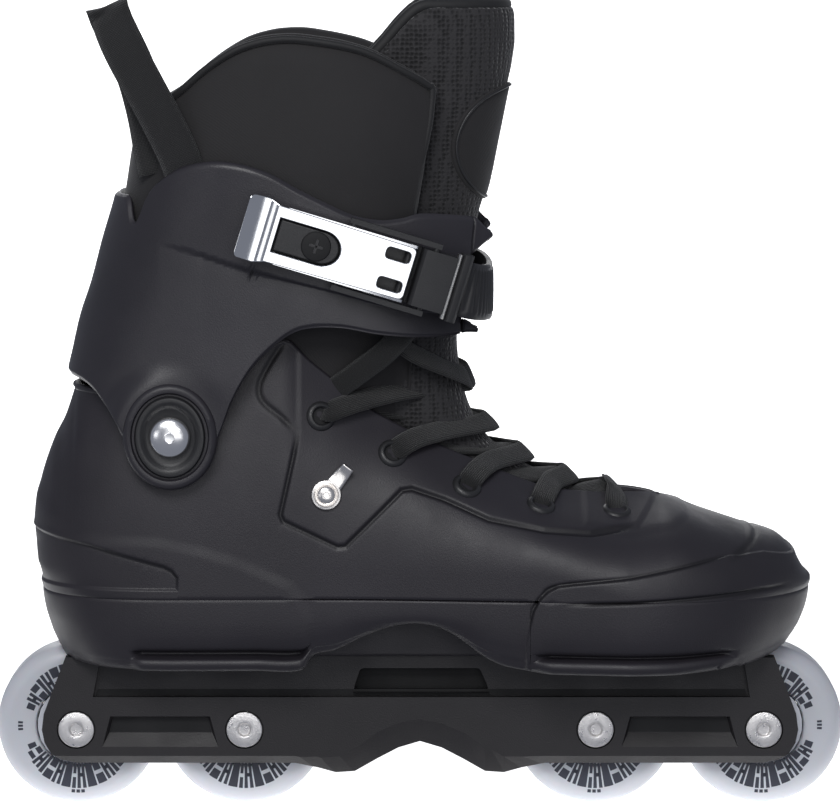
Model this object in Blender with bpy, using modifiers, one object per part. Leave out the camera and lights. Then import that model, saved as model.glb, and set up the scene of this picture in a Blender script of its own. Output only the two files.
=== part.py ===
"""Right-foot inline skate with four wheels, a hinged cuff and a buckle.

Frame of the model: X to the toe, Y to the inner (medial) side, Z up. The origin is on the floor,
midway between the wheels and on their centre plane. Lengths are metres; MM turns millimetres into metres.
"""
import math

import bmesh
import bpy
from mathutils import Matrix, Vector

MM = 0.001
GAP = 0.3 * MM

# Wheels and axles
WHEEL_RADIUS = 30 * MM
WHEEL_HALF_WIDTH = 12 * MM
TREAD_HALF_WIDTH = 7 * MM
HUB_RADIUS = 15 * MM
BEARING_RADIUS = 11 * MM
BEARING_WIDTH = 7 * MM
BORE_RADIUS = 4.2 * MM
AXLE_RADIUS = 3.9 * MM
AXLE_HEAD_RADIUS = 6.6 * MM
AXLE_HEIGHT = WHEEL_RADIUS
MIDDLE_SPACING = 129.5 * MM
PAIR_SPACING = 62 * MM
INNER_AXLE = MIDDLE_SPACING / 2
OUTER_AXLE = INNER_AXLE + PAIR_SPACING
AXLES = (-OUTER_AXLE, -INNER_AXLE, INNER_AXLE, OUTER_AXLE)
FRAME_BOLT_X = (INNER_AXLE + OUTER_AXLE) / 2

# Frame
FRAME_HALF_WIDTH = 21 * MM
FRAME_TOP = 57 * MM
WELL_RADIUS = 32.6 * MM
WELL_HALF_WIDTH = 15 * MM
BOSS_RADIUS = 6.5 * MM
BOSS_Y = WHEEL_HALF_WIDTH + GAP
HEAD_SEAT_Y = 18.8 * MM
HEAD_POCKET_RADIUS = 7.2 * MM
BRACE_BOTTOM = 49 * MM
FRAME_BOLT_RADIUS = 3 * MM
WINDOW_DEPTH = 10 * MM

# Sole and shell
HEEL_X = -139.4 * MM
TOE_X = 143.5 * MM
SEAM_Z = 82 * MM
SOLE_BOTTOM = 55.3 * MM
SOLE_SPLIT_X = 40 * MM
TRAY_WALL = 3.9 * MM
SHELL_WALL = 3.6 * MM
LINER_GAP = 0.8 * MM
LINER_WALL = 4 * MM

# Cuff
PIVOT = Vector((-90 * MM, 0, 142 * MM))
CUFF_WALL = 3 * MM

# Buckle, seen square on: origin at the lever's hinge, +X along the strap to the front, -Y outwards
HINGE = Vector((-6 * MM, -47.8 * MM, 202 * MM))
STRAP_SLOPE = math.radians(17)
BUCKLE_YAW = math.radians(4)


# ---------------------------------------------------------------- helpers

def clear_scene():
    for old in list(bpy.data.objects):
        bpy.data.objects.remove(old, do_unlink=True)


def make_collection(name):
    collection = bpy.data.collections.new(name)
    bpy.context.scene.collection.children.link(collection)
    return collection


def make_material(name, colour, roughness, metallic=0.0):
    material = bpy.data.materials.new(name)
    material.use_nodes = True
    surface = material.node_tree.nodes["Principled BSDF"]
    surface.inputs["Base Color"].default_value = (*colour, 1.0)
    surface.inputs["Roughness"].default_value = roughness
    surface.inputs["Metallic"].default_value = metallic
    return material


clear_scene()
SKATE = make_collection("inline_skate")
CUTTERS = make_collection("cutters")
BLACK = make_material("black_plastic", (0.018, 0.017, 0.019), 0.5)
WHEEL_GREY = make_material("wheel_urethane", (0.60, 0.62, 0.67), 0.35)
CORE_WHITE = make_material("hub_plastic", (0.75, 0.76, 0.80), 0.4)
STEEL = make_material("steel", (0.62, 0.61, 0.59), 0.3, 1.0)
CHROME = make_material("chrome", (0.82, 0.82, 0.84), 0.1, 1.0)
FABRIC = make_material("liner_fabric", (0.015, 0.014, 0.015), 0.85)
WEBBING = make_material("webbing", (0.012, 0.012, 0.013), 0.9)


def place(obj, material, cutter=False):
    """Put an object in its collection with its material; a cutter is hidden from the render."""
    (CUTTERS if cutter else SKATE).objects.link(obj)
    obj.data.materials.append(material)
    if cutter:
        obj.hide_render = True
        obj.display_type = "WIRE"
    return obj


def mesh_object(name, bm, material=BLACK, cutter=False):
    bmesh.ops.recalc_face_normals(bm, faces=bm.faces)
    mesh = bpy.data.meshes.new(name)
    bm.to_mesh(mesh)
    bm.free()
    return place(bpy.data.objects.new(name, mesh), material, cutter)


def cut(obj, *cutters):
    for cutter in cutters:
        modifier = obj.modifiers.new(cutter.name, "BOOLEAN")
        modifier.operation = "DIFFERENCE"
        modifier.object = cutter
    return obj


def box(name, low, high, material=BLACK, cutter=False):
    """A box between two corners given in millimetres."""
    bm = bmesh.new()
    bmesh.ops.create_cube(bm, size=1.0)
    low, high = Vector(low) * MM, Vector(high) * MM
    for vertex in bm.verts:
        vertex.co = Vector([low[i] + (high[i] - low[i]) * (vertex.co[i] + 0.5) for i in range(3)])
    return mesh_object(name, bm, material, cutter)


def prism(name, outline, y_low, y_high, material=BLACK, cutter=False):
    """A side outline, (x, z) in millimetres, with thickness from y_low to y_high."""
    curve = bpy.data.curves.new(name, "CURVE")
    curve.dimensions = "2D"
    curve.fill_mode = "BOTH"
    curve.extrude = (y_high - y_low) / 2
    spline = curve.splines.new("POLY")
    spline.points.add(len(outline) - 1)
    for point, (x, z) in zip(spline.points, outline):
        point.co = (x * MM, z * MM, 0, 1)
    spline.use_cyclic_u = True
    flat = bpy.data.objects.new(name + "_curve", curve)
    SKATE.objects.link(flat)
    bpy.context.view_layer.update()
    graph = bpy.context.evaluated_depsgraph_get()
    mesh = bpy.data.meshes.new_from_object(flat.evaluated_get(graph))
    bpy.data.objects.remove(flat, do_unlink=True)
    bm = bmesh.new()
    bm.from_mesh(mesh)
    bpy.data.meshes.remove(mesh)
    bmesh.ops.remove_doubles(bm, verts=bm.verts, dist=0.01 * MM)
    upright = Matrix.Translation((0, (y_low + y_high) / 2, 0)) @ Matrix.Rotation(math.pi / 2, 4, "X")
    bm.transform(upright)
    return mesh_object(name, bm, material, cutter)


def turned(name, profile, x, z, segments, material=BLACK, cutter=False, closed=False):
    """A body turned about a line along Y. The profile is (radius, y) in millimetres, with its outer side
    running from high y to low y. A closed profile makes a ring."""
    mesh = bpy.data.meshes.new(name)
    points = [(radius * MM, 0, y * MM) for radius, y in profile]
    edges = [(i, i + 1) for i in range(len(points) - 1)]
    if closed:
        edges.append((len(points) - 1, 0))
    mesh.from_pydata(points, edges, [])
    obj = place(bpy.data.objects.new(name, mesh), material, cutter)
    screw = obj.modifiers.new("turn", "SCREW")
    screw.steps = segments
    screw.render_steps = segments
    screw.use_merge_vertices = True
    screw.merge_threshold = 0.01 * MM
    screw.use_smooth_shade = False
    half_segment = math.pi / segments
    obj.matrix_world = (Matrix.Translation((x, 0, z)) @ Matrix.Rotation(-math.pi / 2, 4, "X")
                        @ Matrix.Rotation(half_segment, 4, "Z"))
    return obj


def bolt(name, x, z, head_radius, shaft_radius, head_y, seat_y, tip_y, segments=14, material=STEEL):
    """A headed bolt along Y: head face at head_y, head underside at seat_y, tip at tip_y, in metres."""
    profile = [(0, head_y), (head_radius - MM, head_y), (head_radius, head_y - math.copysign(0.8 * MM, head_y)),
               (head_radius, seat_y), (shaft_radius, seat_y), (shaft_radius, tip_y), (0, tip_y)]
    if head_y < tip_y:
        profile.reverse()
    profile = [(radius / MM, y / MM) for radius, y in profile]
    return turned(name, profile, x, z, segments, material)


def loft(name, sections, material=BLACK, cutter=False):
    """Closed body through a row of closed sections that each have the same number of points."""
    bm = bmesh.new()
    rows = [[bm.verts.new(point) for point in section] for section in sections]
    count = len(rows[0])
    for row, following in zip(rows, rows[1:]):
        for i in range(count):
            j = (i + 1) % count
            bm.faces.new((row[i], row[j], following[j], following[i]))
    bm.faces.new(rows[0])
    bm.faces.new(rows[-1])
    bmesh.ops.remove_doubles(bm, verts=bm.verts, dist=0.02 * MM)
    return mesh_object(name, bm, material, cutter)


def curve_through(points):
    """A smooth function through hand-placed (x, value) points."""
    xs = [point[0] for point in points]
    ys = [point[1] for point in points]
    slopes = []
    for i in range(len(xs)):
        before, after = max(i - 1, 0), min(i + 1, len(xs) - 1)
        slopes.append((ys[after] - ys[before]) / (xs[after] - xs[before]))

    def value(x):
        x = min(max(x, xs[0]), xs[-1])
        k = max(i for i in range(len(xs) - 1) if xs[i] <= x)
        width = xs[k + 1] - xs[k]
        t = (x - xs[k]) / width
        return ((2 * t**3 - 3 * t**2 + 1) * ys[k] + (t**3 - 2 * t**2 + t) * width * slopes[k]
                + (-2 * t**3 + 3 * t**2) * ys[k + 1] + (t**3 - t**2) * width * slopes[k + 1])
    return value


def fillet(outline, radius, steps=3):
    """Round every corner of an (x, z) outline."""
    rounded = []
    for i, corner in enumerate(outline):
        here = Vector(corner)
        before = (Vector(outline[i - 1]) - here)
        after = (Vector(outline[(i + 1) % len(outline)]) - here)
        half = before.angle(after) / 2
        reach = min(radius / math.tan(half), before.length * 0.45, after.length * 0.45)
        start, end = here + before.normalized() * reach, here + after.normalized() * reach
        for k in range(steps + 1):
            t = k / steps
            rounded.append(tuple(start * (1 - t) ** 2 + here * 2 * t * (1 - t) + end * t ** 2))
    return rounded


# ---------------------------------------------------------------- wheels

def make_wheel(number, x):
    """Tyre, hub, two bearings, spacer, axle bolt and axle nut of one wheel."""
    z = AXLE_HEIGHT
    name = f"wheel_{number}_"
    segments = 24
    to_flat = 1 / math.cos(math.pi / segments) / MM
    outer, hub = WHEEL_RADIUS * to_flat, (HUB_RADIUS + GAP) * to_flat
    side, tread = WHEEL_HALF_WIDTH / MM, TREAD_HALF_WIDTH / MM
    turned(name + "tyre", [(hub, side), (outer - 8, side), (outer - 2, side - 2), (outer, tread),
                           (outer, -tread), (outer - 2, 2 - side), (outer - 8, -side), (hub, -side)],
           x, z, segments, WHEEL_GREY, closed=True)

    hub_outer, seat, lip = HUB_RADIUS / MM, (BEARING_RADIUS + GAP) / MM * 1.01, 9.5
    hub_side, shoulder = 11, (WHEEL_HALF_WIDTH - BEARING_WIDTH) / MM
    turned(name + "hub", [(seat, hub_side), (hub_outer, hub_side), (hub_outer, -hub_side), (seat, -hub_side),
                          (seat, -shoulder), (lip, -shoulder), (lip, shoulder), (seat, shoulder)],
           x, z, segments, CORE_WHITE, closed=True)

    inner_face, outer_face = shoulder + GAP / MM, WHEEL_HALF_WIDTH / MM - 0.2
    bore, rim = BORE_RADIUS / MM, BEARING_RADIUS / MM
    for side_name, low, high in (("lateral", -outer_face, -inner_face), ("medial", inner_face, outer_face)):
        turned(f"{name}bearing_{side_name}", [(bore, high), (rim, high), (rim, low), (bore, low)],
               x, z, 16, STEEL, closed=True)
    turned(name + "spacer", [(bore, shoulder), (6.2, shoulder), (6.2, -shoulder), (bore, -shoulder)],
           x, z, 12, STEEL, closed=True)

    head_face = FRAME_HALF_WIDTH + 0.3 * MM
    meeting = 6 * MM
    bolt(name + "axle_bolt", x, z, AXLE_HEAD_RADIUS, AXLE_RADIUS, -head_face, -HEAD_SEAT_Y - GAP, meeting)
    bolt(name + "axle_nut", x, z, AXLE_HEAD_RADIUS, AXLE_RADIUS, head_face, HEAD_SEAT_Y + GAP, meeting + GAP)


# ---------------------------------------------------------------- frame

# Bottom of the frame from its middle outwards, as (x, z)
FRAME_BELLY = [(0, 25.2), (8, 22.8), (16, 18.6), (24, 14), (31, 13.5), (38, 15.4), (46, 17)]


def frame_outline():
    """Side outline of the frame in millimetres, mirrored about the middle."""
    front = [(130.5, FRAME_TOP / MM), (138.6, 36), (139.4, 30), (138.4, 25), (136, 21), (132, 18.4), (127, 17.1)]
    front += list(reversed(FRAME_BELLY))
    back = [(-x, z) for x, z in reversed(front[:-1])]
    return front + back


def wheel_well(name, x):
    """Cutter for one wheel: head pockets, axle hole and the well, which leaves a boss on each side."""
    clear = 2
    half = [(0, FRAME_HALF_WIDTH / MM + clear), (HEAD_POCKET_RADIUS / MM, FRAME_HALF_WIDTH / MM + clear),
            (HEAD_POCKET_RADIUS / MM, HEAD_SEAT_Y / MM), (BORE_RADIUS / MM, HEAD_SEAT_Y / MM),
            (BORE_RADIUS / MM, BOSS_Y / MM), (BOSS_RADIUS / MM, BOSS_Y / MM),
            (BOSS_RADIUS / MM + 2, WELL_HALF_WIDTH / MM), (WELL_RADIUS / MM, WELL_HALF_WIDTH / MM)]
    other = [(radius, -y) for radius, y in reversed(half)]
    return turned(name, half + other, x, AXLE_HEIGHT, 18, cutter=True)


def two_sided(target, name, outline, depth):
    """Cut the same flat-bottomed recess into the frame's two outer faces."""
    for side_name, side in (("lateral", -1), ("medial", 1)):
        low, high = sorted((side * 30 * MM, side * (FRAME_HALF_WIDTH - depth * MM)))
        cut(target, prism(f"{name}_{side_name}", outline, low, high, cutter=True))


def pocket(target, name, x):
    """Trapezoid pocket between two wheels, with a sloped lower wall, on both sides of the frame."""
    face = FRAME_HALF_WIDTH / MM
    for side_name, side in (("lateral", -1), ("medial", 1)):
        rings = []
        for depth, low, low_half, high_half in ((-1, 22.7, 22.2, 17.9), (0, 23.6, 21.4, 18.4),
                                                (3, 28.4, 19.0, 17.6)):
            y = side * (face - depth)
            high = 35 - 0.3 * depth
            ring = [(x - low_half, y, low), (x + low_half, y, low), (x + high_half, y, high),
                    (x - high_half, y, high)]
            rings.append([Vector(point) * MM for point in ring])
        cut(target, loft(f"{name}_{side_name}", rings, cutter=True))


def lower_chamfer(target):
    """Slanted faces along the bottom of both sides, deeper under the grind block."""
    line = curve_through([(0, 34), (8, 32.5), (16, 29), (24, 23), (31, 20), (38, 20), (46, 20.2), (141, 20.2)])
    bottom = curve_through(FRAME_BELLY + [(141, 17)])
    face = FRAME_HALF_WIDTH / MM
    for side_name, side in (("lateral", -1), ("medial", 1)):
        rings = []
        for x in (-142, -46, -38, -31, -24, -16, -8, 0, 8, 16, 24, 31, 38, 46, 142):
            low, high = bottom(abs(x)), line(abs(x))
            slope = 3.0 / (high - low)
            rings.append([Vector(point) * MM for point in (
                (x, side * (face + 1), high + 1 / slope), (x, side * (face - 3.0 - slope), low - 1),
                (x, side * (face + 4), low - 1), (x, side * (face + 4), high + 1 / slope))])
        cut(target, loft(f"lower_chamfer_{side_name}", rings, cutter=True))


def make_frame():
    half_width = FRAME_HALF_WIDTH
    frame = prism("frame", frame_outline(), -half_width, half_width)
    cut(frame, *[wheel_well(f"well_{i}", x) for i, x in enumerate(AXLES)])
    lower_chamfer(frame)
    two_sided(frame, "upper_recess", [(-120.5, 42.2), (121.5, 42.2), (118.5, 60), (-117, 60)], 3.2)
    two_sided(frame, "window", fillet([(-25, 43.5), (26, 43.5), (22, 52.5), (-22, 52.5)], 2), WINDOW_DEPTH / MM)
    cut(frame, box("grind_block_hollow", (-20, -8, 30), (20, 8, 60), cutter=True))
    for end, x in (("rear", -FRAME_BOLT_X / MM), ("front", FRAME_BOLT_X / MM)):
        cut(frame, box(f"{end}_brace_underside", (x - 9, -15.2, 5), (x + 9, 15.2, BRACE_BOTTOM / MM), cutter=True))
        cut(frame, upright_hole(f"{end}_bolt_hole", x, FRAME_BOLT_RADIUS / MM + 0.4, 40, 62))
        pocket(frame, f"{end}_pocket", x)
        make_frame_bolt(f"frame_bolt_{end}", x)
    return frame


def upright_hole(name, x, radius, low, high):
    bm = bmesh.new()
    bmesh.ops.create_cone(bm, cap_ends=True, segments=16, radius1=radius * MM, radius2=radius * MM,
                          depth=(high - low) * MM)
    bmesh.ops.translate(bm, verts=bm.verts, vec=(x * MM, 0, (low + high) / 2 * MM))
    return mesh_object(name, bm, cutter=True)


def make_frame_bolt(name, x):
    """Countersunk-side bolt that pulls the frame up against the sole plate."""
    top, seat, head_bottom = 69, BRACE_BOTTOM / MM - 0.3, BRACE_BOTTOM / MM - 3.3
    shaft, head = FRAME_BOLT_RADIUS / MM, 4.5
    obj = turned(name, [(0, top), (shaft, top), (shaft, seat), (head, seat), (head, head_bottom), (0, head_bottom)],
                 0, 0, 14, STEEL)
    obj.matrix_world = Matrix.Translation((x * MM, 0, 0))


# ---------------------------------------------------------------- sole plates and shell

waist_lateral = curve_through([(-90, 43), (-30, 42.5), (20, 46.5), (75, 52)])
waist_medial = curve_through([(-90, 43), (-30, 39.5), (20, 44.5), (75, 52)])


def half_width(x, side, inset=0.0, heel=HEEL_X / MM, toe=TOE_X / MM):
    """Half width of the boot's plan at x, all in millimetres. side is -1 lateral, +1 medial."""
    waist = waist_lateral if side < 0 else waist_medial
    width = waist(x) - inset
    if x < -90:
        reach = min(1.0, (-90 - x) / (-90 - heel - inset))
        return width * (1 - reach**2.4) ** (1 / 2.4)
    if x > 75:
        power = 2.0 if side < 0 else 2.6
        reach = min(1.0, (x - 75) / (toe - inset - 75))
        return width * (1 - reach**power) ** (1 / power)
    return width


def rounded_stations(start, end, count):
    """Stations from a rounded end (start) to a flat one, closer together near the rounded end."""
    return [start + (end - start) * (1 - math.cos(math.pi / 2 * i / count)) for i in range(count + 1)]


def plan_outline(round_end, flat_end, z, inset, count=15):
    """Plan outline of one sole plate at height z: round at one end and cut square at the other."""
    stations = rounded_stations(round_end, flat_end, count)
    ends = {"heel": round_end - inset, "toe": TOE_X / MM} if round_end < 0 else {"heel": HEEL_X / MM,
                                                                               "toe": round_end + inset}
    lateral = [(x, -half_width(x, -1, inset, **ends), z) for x in reversed(stations)]
    medial = [(x, half_width(x, 1, inset, **ends), z) for x in stations[1:]]
    return [Vector(point) * MM for point in lateral + medial]


def sole_plate(name, heel_side):
    """A tray that wraps the lower shell, with a grind lip along its bottom edge."""
    flat_end = (SOLE_SPLIT_X - GAP) / MM if heel_side else SOLE_SPLIT_X / MM
    sign = -1 if heel_side else 1
    tip = abs(HEEL_X if heel_side else TOE_X) / MM
    tucks = ((SOLE_BOTTOM / MM, 8.4, 1.5), (58, 7.0, 0), (61, 5.5, 0), (64, 4, 1.8), (SEAM_Z / MM, 0, 0))
    levels = [plan_outline(sign * (tip - tuck), flat_end, z, inset) for z, tuck, inset in tucks]
    plate = loft(name, levels)

    floor = [tray_floor(x) for x in (-130, -60, 0, 45, 130)]
    cavity_low = min(floor) if heel_side else tray_floor(90)
    end = flat_end + sign * -3
    cavity = [plan_outline(sign * (tip - TRAY_WALL / MM - extra), end, z, TRAY_WALL / MM + extra)
              for z, extra in ((cavity_low, 2.5), (cavity_low + 3, 0.5), (SEAM_Z / MM + 2, 0))]
    cut(plate, loft(name + "_tray", cavity, cutter=True))
    cut(plate, box(name + "_frame_channel", (-150, -21.5, 40), (150, 21.5, FRAME_TOP / MM + 0.3), cutter=True))
    if heel_side:
        arch = [(-41, 50), (-41, 58), (-34, 61.5), (-22, 67.5), (-10, 71.5), (0, 73), (10, 71.5), (20, 65.5),
                (30, 58), (34, 50)]
        cut(plate, prism("arch_lateral", arch, -70 * MM, -20 * MM, cutter=True))
        cut(plate, prism("arch_medial", arch, 20 * MM, 70 * MM, cutter=True))
    near = [i for i, x in enumerate(AXLES) if (x < 0) == heel_side]
    for i in near:
        well = turned(f"{name}_well_{i}", [(0, 15), (33, 15), (33, -15), (0, -15)], AXLES[i], AXLE_HEIGHT, 24,
                      cutter=True)
        cut(plate, well)
    bolt_x = (-FRAME_BOLT_X if heel_side else FRAME_BOLT_X) / MM
    cut(plate, upright_hole(name + "_bolt_hole", bolt_x, FRAME_BOLT_RADIUS / MM + 0.4, 50, 69.4))
    return plate


def tray_floor(x):
    """Height of the tray's floor, just under the shell."""
    return shell_bottom(x) - GAP / MM


shell_bottom = curve_through([(-140, 73.5), (-60, 73.5), (0, 74.5), (45, 71.8), (90, 71), (140, 71)])
rim_height = curve_through([(-127, 157), (-110, 157), (-90, 160), (-70, 165), (-56, 172), (-49, 176), (-42, 169),
                            (-35, 163), (-18, 149), (6, 136), (22, 129), (44, 120), (62, 117), (88, 115),
                            (104, 109), (125, 102), (136, 97), (141, 91), (143.4, 86)])
heel_top = curve_through([(-142.2, 108), (-141, 118), (-139, 126), (-135, 137), (-131, 145), (-127, 157)])
rim_half_width = curve_through([(-127, 0), (-125, 13), (-120, 23), (-110, 31), (-90, 36.5), (-60, 36), (-49, 34.5),
                                (-35, 31), (-18, 27), (6, 23.5), (22, 21), (44, 17.5), (62, 13.5), (78, 8),
                                (88, 0)])
SIDE_STEPS = 4
BOOT_STATIONS = (-142.2, -141.2, -139, -135.5, -131, -127, -125, -120, -110, -97, -80, -65, -56, -49, -42, -33,
                 -18, 0, 18, 36, 52, 66, 78, 88, 100, 112, 123, 132, 138.5, 142, 143.4)


def boot_section(x, inset=0.0, rise=0.0):
    """Ring around the boot at x: medial rim, down, under the sole and up to the lateral rim. Lengths are in
    millimetres. inset moves the skin inwards and rise lifts the open rim."""
    outer_x = x - inset if x < 0 else x + inset
    is_open = outer_x > -127 and outer_x < 88
    top = heel_top(outer_x) if outer_x < -127 else rim_height(x)
    if not is_open:
        top -= inset if x > 0 else 0.3 * inset
    elif x > 0:
        top -= inset * min(1.0, x / 60)
    seam = (SEAM_Z + GAP) / MM + inset
    if outer_x < HEEL_X / MM:
        seam = min(seam + (HEEL_X / MM - outer_x) * 6, top - 4)
    top = max(top, seam + 2.5)
    widest_z = max(seam + 0.8, min(84 if x > 60 else 92, (top + seam) / 2 + 2))
    sides = []
    for side in (1, -1):
        widest = half_width(x, side, inset, -143, 145)
        at_seam = min(half_width(x, side, inset), widest)
        nested = half_width(x, side, inset + 5.2)
        rim = max(rim_half_width(x) - inset, 0.4) if is_open else 0.0
        bottom = seam - (seam - shell_bottom(x) - inset) * min(1.0, nested / 20)
        if is_open:
            bend = Vector((rim + (widest - rim) * (0.25 if x < -20 else 0.45), top - 0.25 * (top - widest_z)))
        else:
            bend = Vector((0.75 * widest, top))
        lift = widest_z + 0.57 * (top - widest_z)
        curve = (Vector((rim, top)), bend, Vector((widest, lift)), Vector((widest, widest_z)))
        half = [Vector((rim, top + rise if is_open else top))] if rise else []
        for k in range(SIDE_STEPS + 1):
            t = k / SIDE_STEPS
            half.append(curve[0] * (1 - t)**3 + curve[1] * 3 * t * (1 - t)**2
                        + curve[2] * 3 * t**2 * (1 - t) + curve[3] * t**3)
        half += [Vector((at_seam, seam)), Vector((nested, seam)),
                 Vector((nested * 0.98, bottom + 0.3 * (seam - bottom))), Vector((nested * 0.82, bottom))]
        sides.append([Vector((x, side * point.x, point.y)) * MM for point in half])
    medial, lateral = sides
    return medial + list(reversed(lateral))


def boot_solid(name, first, last, inset, cutter=False, material=BLACK, every=1, **shape):
    """Body of the boot's form from first to last; every=2 uses every other station."""
    inner = [x for x in BOOT_STATIONS[::every] if first + 0.8 < x < last - 0.8]
    sections = [boot_section(x, inset, **shape) for x in (first, *inner, last)]
    return loft(name, sections, material, cutter)


def make_shell():
    shell = boot_solid("shell", BOOT_STATIONS[0], BOOT_STATIONS[-1], 0)
    wall = SHELL_WALL / MM
    cut(shell, boot_solid("shell_cavity", -138.4, 137, wall, cutter=True, rise=40))
    return shell


def shell_y(x, z, side, inset=0.0):
    """Distance of the boot's skin from the centre plane at (x, z) in millimetres."""
    ring = [point / MM for point in boot_section(x, inset)]
    count = SIDE_STEPS + 1
    half = ring[:count] if side > 0 else list(reversed(ring[-count:]))
    for above, below in zip(half, half[1:]):
        if above.z >= z >= below.z:
            t = (above.z - z) / max(above.z - below.z, 0.001)
            return abs(above.y + (below.y - above.y) * t)
    return abs(half[-1].y if z < half[-1].z else half[0].y)


# ---------------------------------------------------------------- liner

LINER_INSET = (SHELL_WALL + LINER_GAP) / MM
COLLAR_WALL = 6
LINER_TOP = [(-126, 157), (-110, 166), (-90, 170), (-60, 169), (-45, 160), (-30, 150), (-18, 141), (6, 128),
             (22, 121), (44, 112), (62, 108), (80, 106), (82, 125)]


def make_liner_foot():
    liner = boot_solid("liner_foot", -135, 132, LINER_INSET, material=FABRIC, rise=20)
    inner = LINER_INSET + LINER_WALL / MM
    cut(liner, boot_solid("liner_foot_cavity", -130, 122, inner, cutter=True, every=2, rise=40))
    above = [(-145, 157)] + LINER_TOP + [(82, 230), (-145, 230)]
    cut(liner, prism("liner_foot_top", above, -80 * MM, 80 * MM, cutter=True))
    return liner


def make_insole():
    """Footbed that follows the liner's floor."""
    sections = []
    for x in (-112, -106, -92, -70, -40, -10, 20, 50, 80, 98, 108, 113):
        low = shell_bottom(x) + LINER_INSET + LINER_WALL / MM + 0.8
        medial = half_width(x, 1, 18, toe=139) * 0.8
        lateral = half_width(x, -1, 18, toe=139) * 0.8
        ring = [(x, medial, low), (x, medial, low + 3), (x, -lateral, low + 3), (x, -lateral, low)]
        sections.append([Vector(point) * MM for point in ring])
    return loft("insole", sections, FABRIC)


def wrap_ring(z, centre, rear, front, half_widths, wall, end_degrees, power=2.4, count=22, start=None):
    """Closed ring of points in plan: an oval band, open at the front, with its outer then inner arc."""
    first = -end_degrees if start is None else start
    arcs = []
    for shrink in (0, wall):
        arc = []
        for i in range(count + 1):
            angle = math.radians(first + (end_degrees - first) * i / count)
            along, across = -math.cos(angle), math.sin(angle)
            reach = (front - centre if along > 0 else centre - rear) - shrink
            width = half_widths[0 if across < 0 else 1] - shrink
            x = centre + math.copysign(abs(along) ** (2 / power), along) * reach
            y = math.copysign(abs(across) ** (2 / power), across) * width
            arc.append(Vector((x, y, z)) * MM)
        arcs.append(arc)
    return arcs[0] + list(reversed(arcs[1]))


def keep_inside(obj, cutter):
    modifier = obj.modifiers.new(cutter.name, "BOOLEAN")
    modifier.operation = "INTERSECT"
    modifier.object = cutter
    return obj


def make_collar():
    rear_x = curve_through([(200, -114.5), (228, -107), (250, -104), (287, -101)])
    front_x = curve_through([(200, 8), (228, 12), (258, 22), (287, 22)])
    width = curve_through([(200, 43.5), (228, 44), (250, 43), (287, 39)])
    rings = [wrap_ring(z, -50, rear_x(z), front_x(z), (width(z), width(z)), COLLAR_WALL, 138)
             for z in (200, 214, 228, 242, 256, 272, 288)]
    collar = loft("liner_collar", rings, FABRIC)
    top = [(-125, 199), (-125, 252), (-104, 252), (-99, 259), (-88, 266), (-76, 276), (-64, 283), (-50, 286),
           (-36, 284.5), (-20, 281), (-5, 273.5), (6, 268), (10, 262), (12, 252), (9, 244), (3, 232),
           (1, 220), (1, 199)]
    return keep_inside(collar, prism("collar_outline", top, -80 * MM, 80 * MM, cutter=True))


def make_tongue():
    """The tongue in two lengths: the instep stays with the boot and the shin moves with the cuff."""
    front_x = curve_through([(200, 17), (219, 21), (231, 25), (261, 31), (283, 34.5), (296, 33)])
    width = curve_through([(200, 23), (230, 24), (260, 25), (288, 24), (296, 17)])
    back = curve_through([(200, -18), (260, -18), (285, -16), (296, -8)])
    rings = []
    for z in (200, 214, 230, 246, 262, 278, 288, 293, 296):
        wall = 7 if z < 296 else 4
        rings.append(wrap_ring(z, back(z), back(z) - 20, front_x(z), (width(z), width(z)), wall, 270, 2.2, 14, 90))
    loft("tongue_shin", rings, FABRIC)

    front = [(13, 172), (15, 160), (18.5, 148), (24.5, 136), (36, 127.5), (50, 121), (62, 115.5), (71, 111)]
    reach = [18, 17, 16, 14.5, 13, 11.5, 8.2, 4.5]
    sections = []
    for i, (x, z) in enumerate(front):
        ahead = Vector(front[min(i + 1, len(front) - 1)]) - Vector(front[max(i - 1, 0)])
        normal = Vector((-ahead.y, ahead.x)).normalized()
        arcs = []
        for depth in (0, 4):
            drops = [(k / 4, 4 * (k / 4) ** 2 + depth) for k in range(-4, 5)]
            arcs.append([Vector((x - normal.x * drop, reach[i] * k, z - normal.y * drop)) * MM for k, drop in drops])
        sections.append(arcs[0] + list(reversed(arcs[1])))
    loft("tongue_instep", sections, FABRIC)


def ribbon(name, path, widths, thickness, material, across):
    """Flat band along a path in millimetres; across(i) gives its width direction at point i."""
    sections = []
    for i, point in enumerate(path):
        ahead = Vector(path[min(i + 1, len(path) - 1)]) - Vector(path[max(i - 1, 0)])
        side = Vector(across(i)).normalized()
        side = (side - ahead * side.dot(ahead) / ahead.length_squared).normalized()
        normal = ahead.cross(side).normalized()
        half, thin = widths[i] / 2, thickness / 2
        corners = ((-half, -thin), (half, -thin), (half, thin), (-half, thin))
        sections.append([(Vector(point) + side * a + normal * b) * MM for a, b in corners])
    return loft(name, sections, material)


def make_pull_loop():
    path = [(-85, -42, 244), (-90, -41.2, 252), (-97, -38, 265), (-104, -34, 277), (-110, -31, 288),
            (-113.5, -29.5, 295)]
    ribbon("pull_loop", path, [17] * 5 + [15], 3.4, WEBBING, lambda i: (0.86, 0, 0.5))


LACE_RADIUS = 2.0
# One crossing a row, toe first: the eyelet's (x, z), a point over the shell's rim and the middle of the tongue
LACE_ROWS = (((72, 111.5), (73, 13, 120), (74.5, 120.2)), ((44, 114.5), (51, 19.5, 124), (60, 124.5)),
             ((17, 122), (30, 23, 132.5), (43.5, 131.2)), ((-10, 134), (11, 29, 142.5), (30, 139.5)),
             ((-36, 148), (-4, 35, 158), (25, 152.5)))
LACE_LIFT = 6.0


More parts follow.
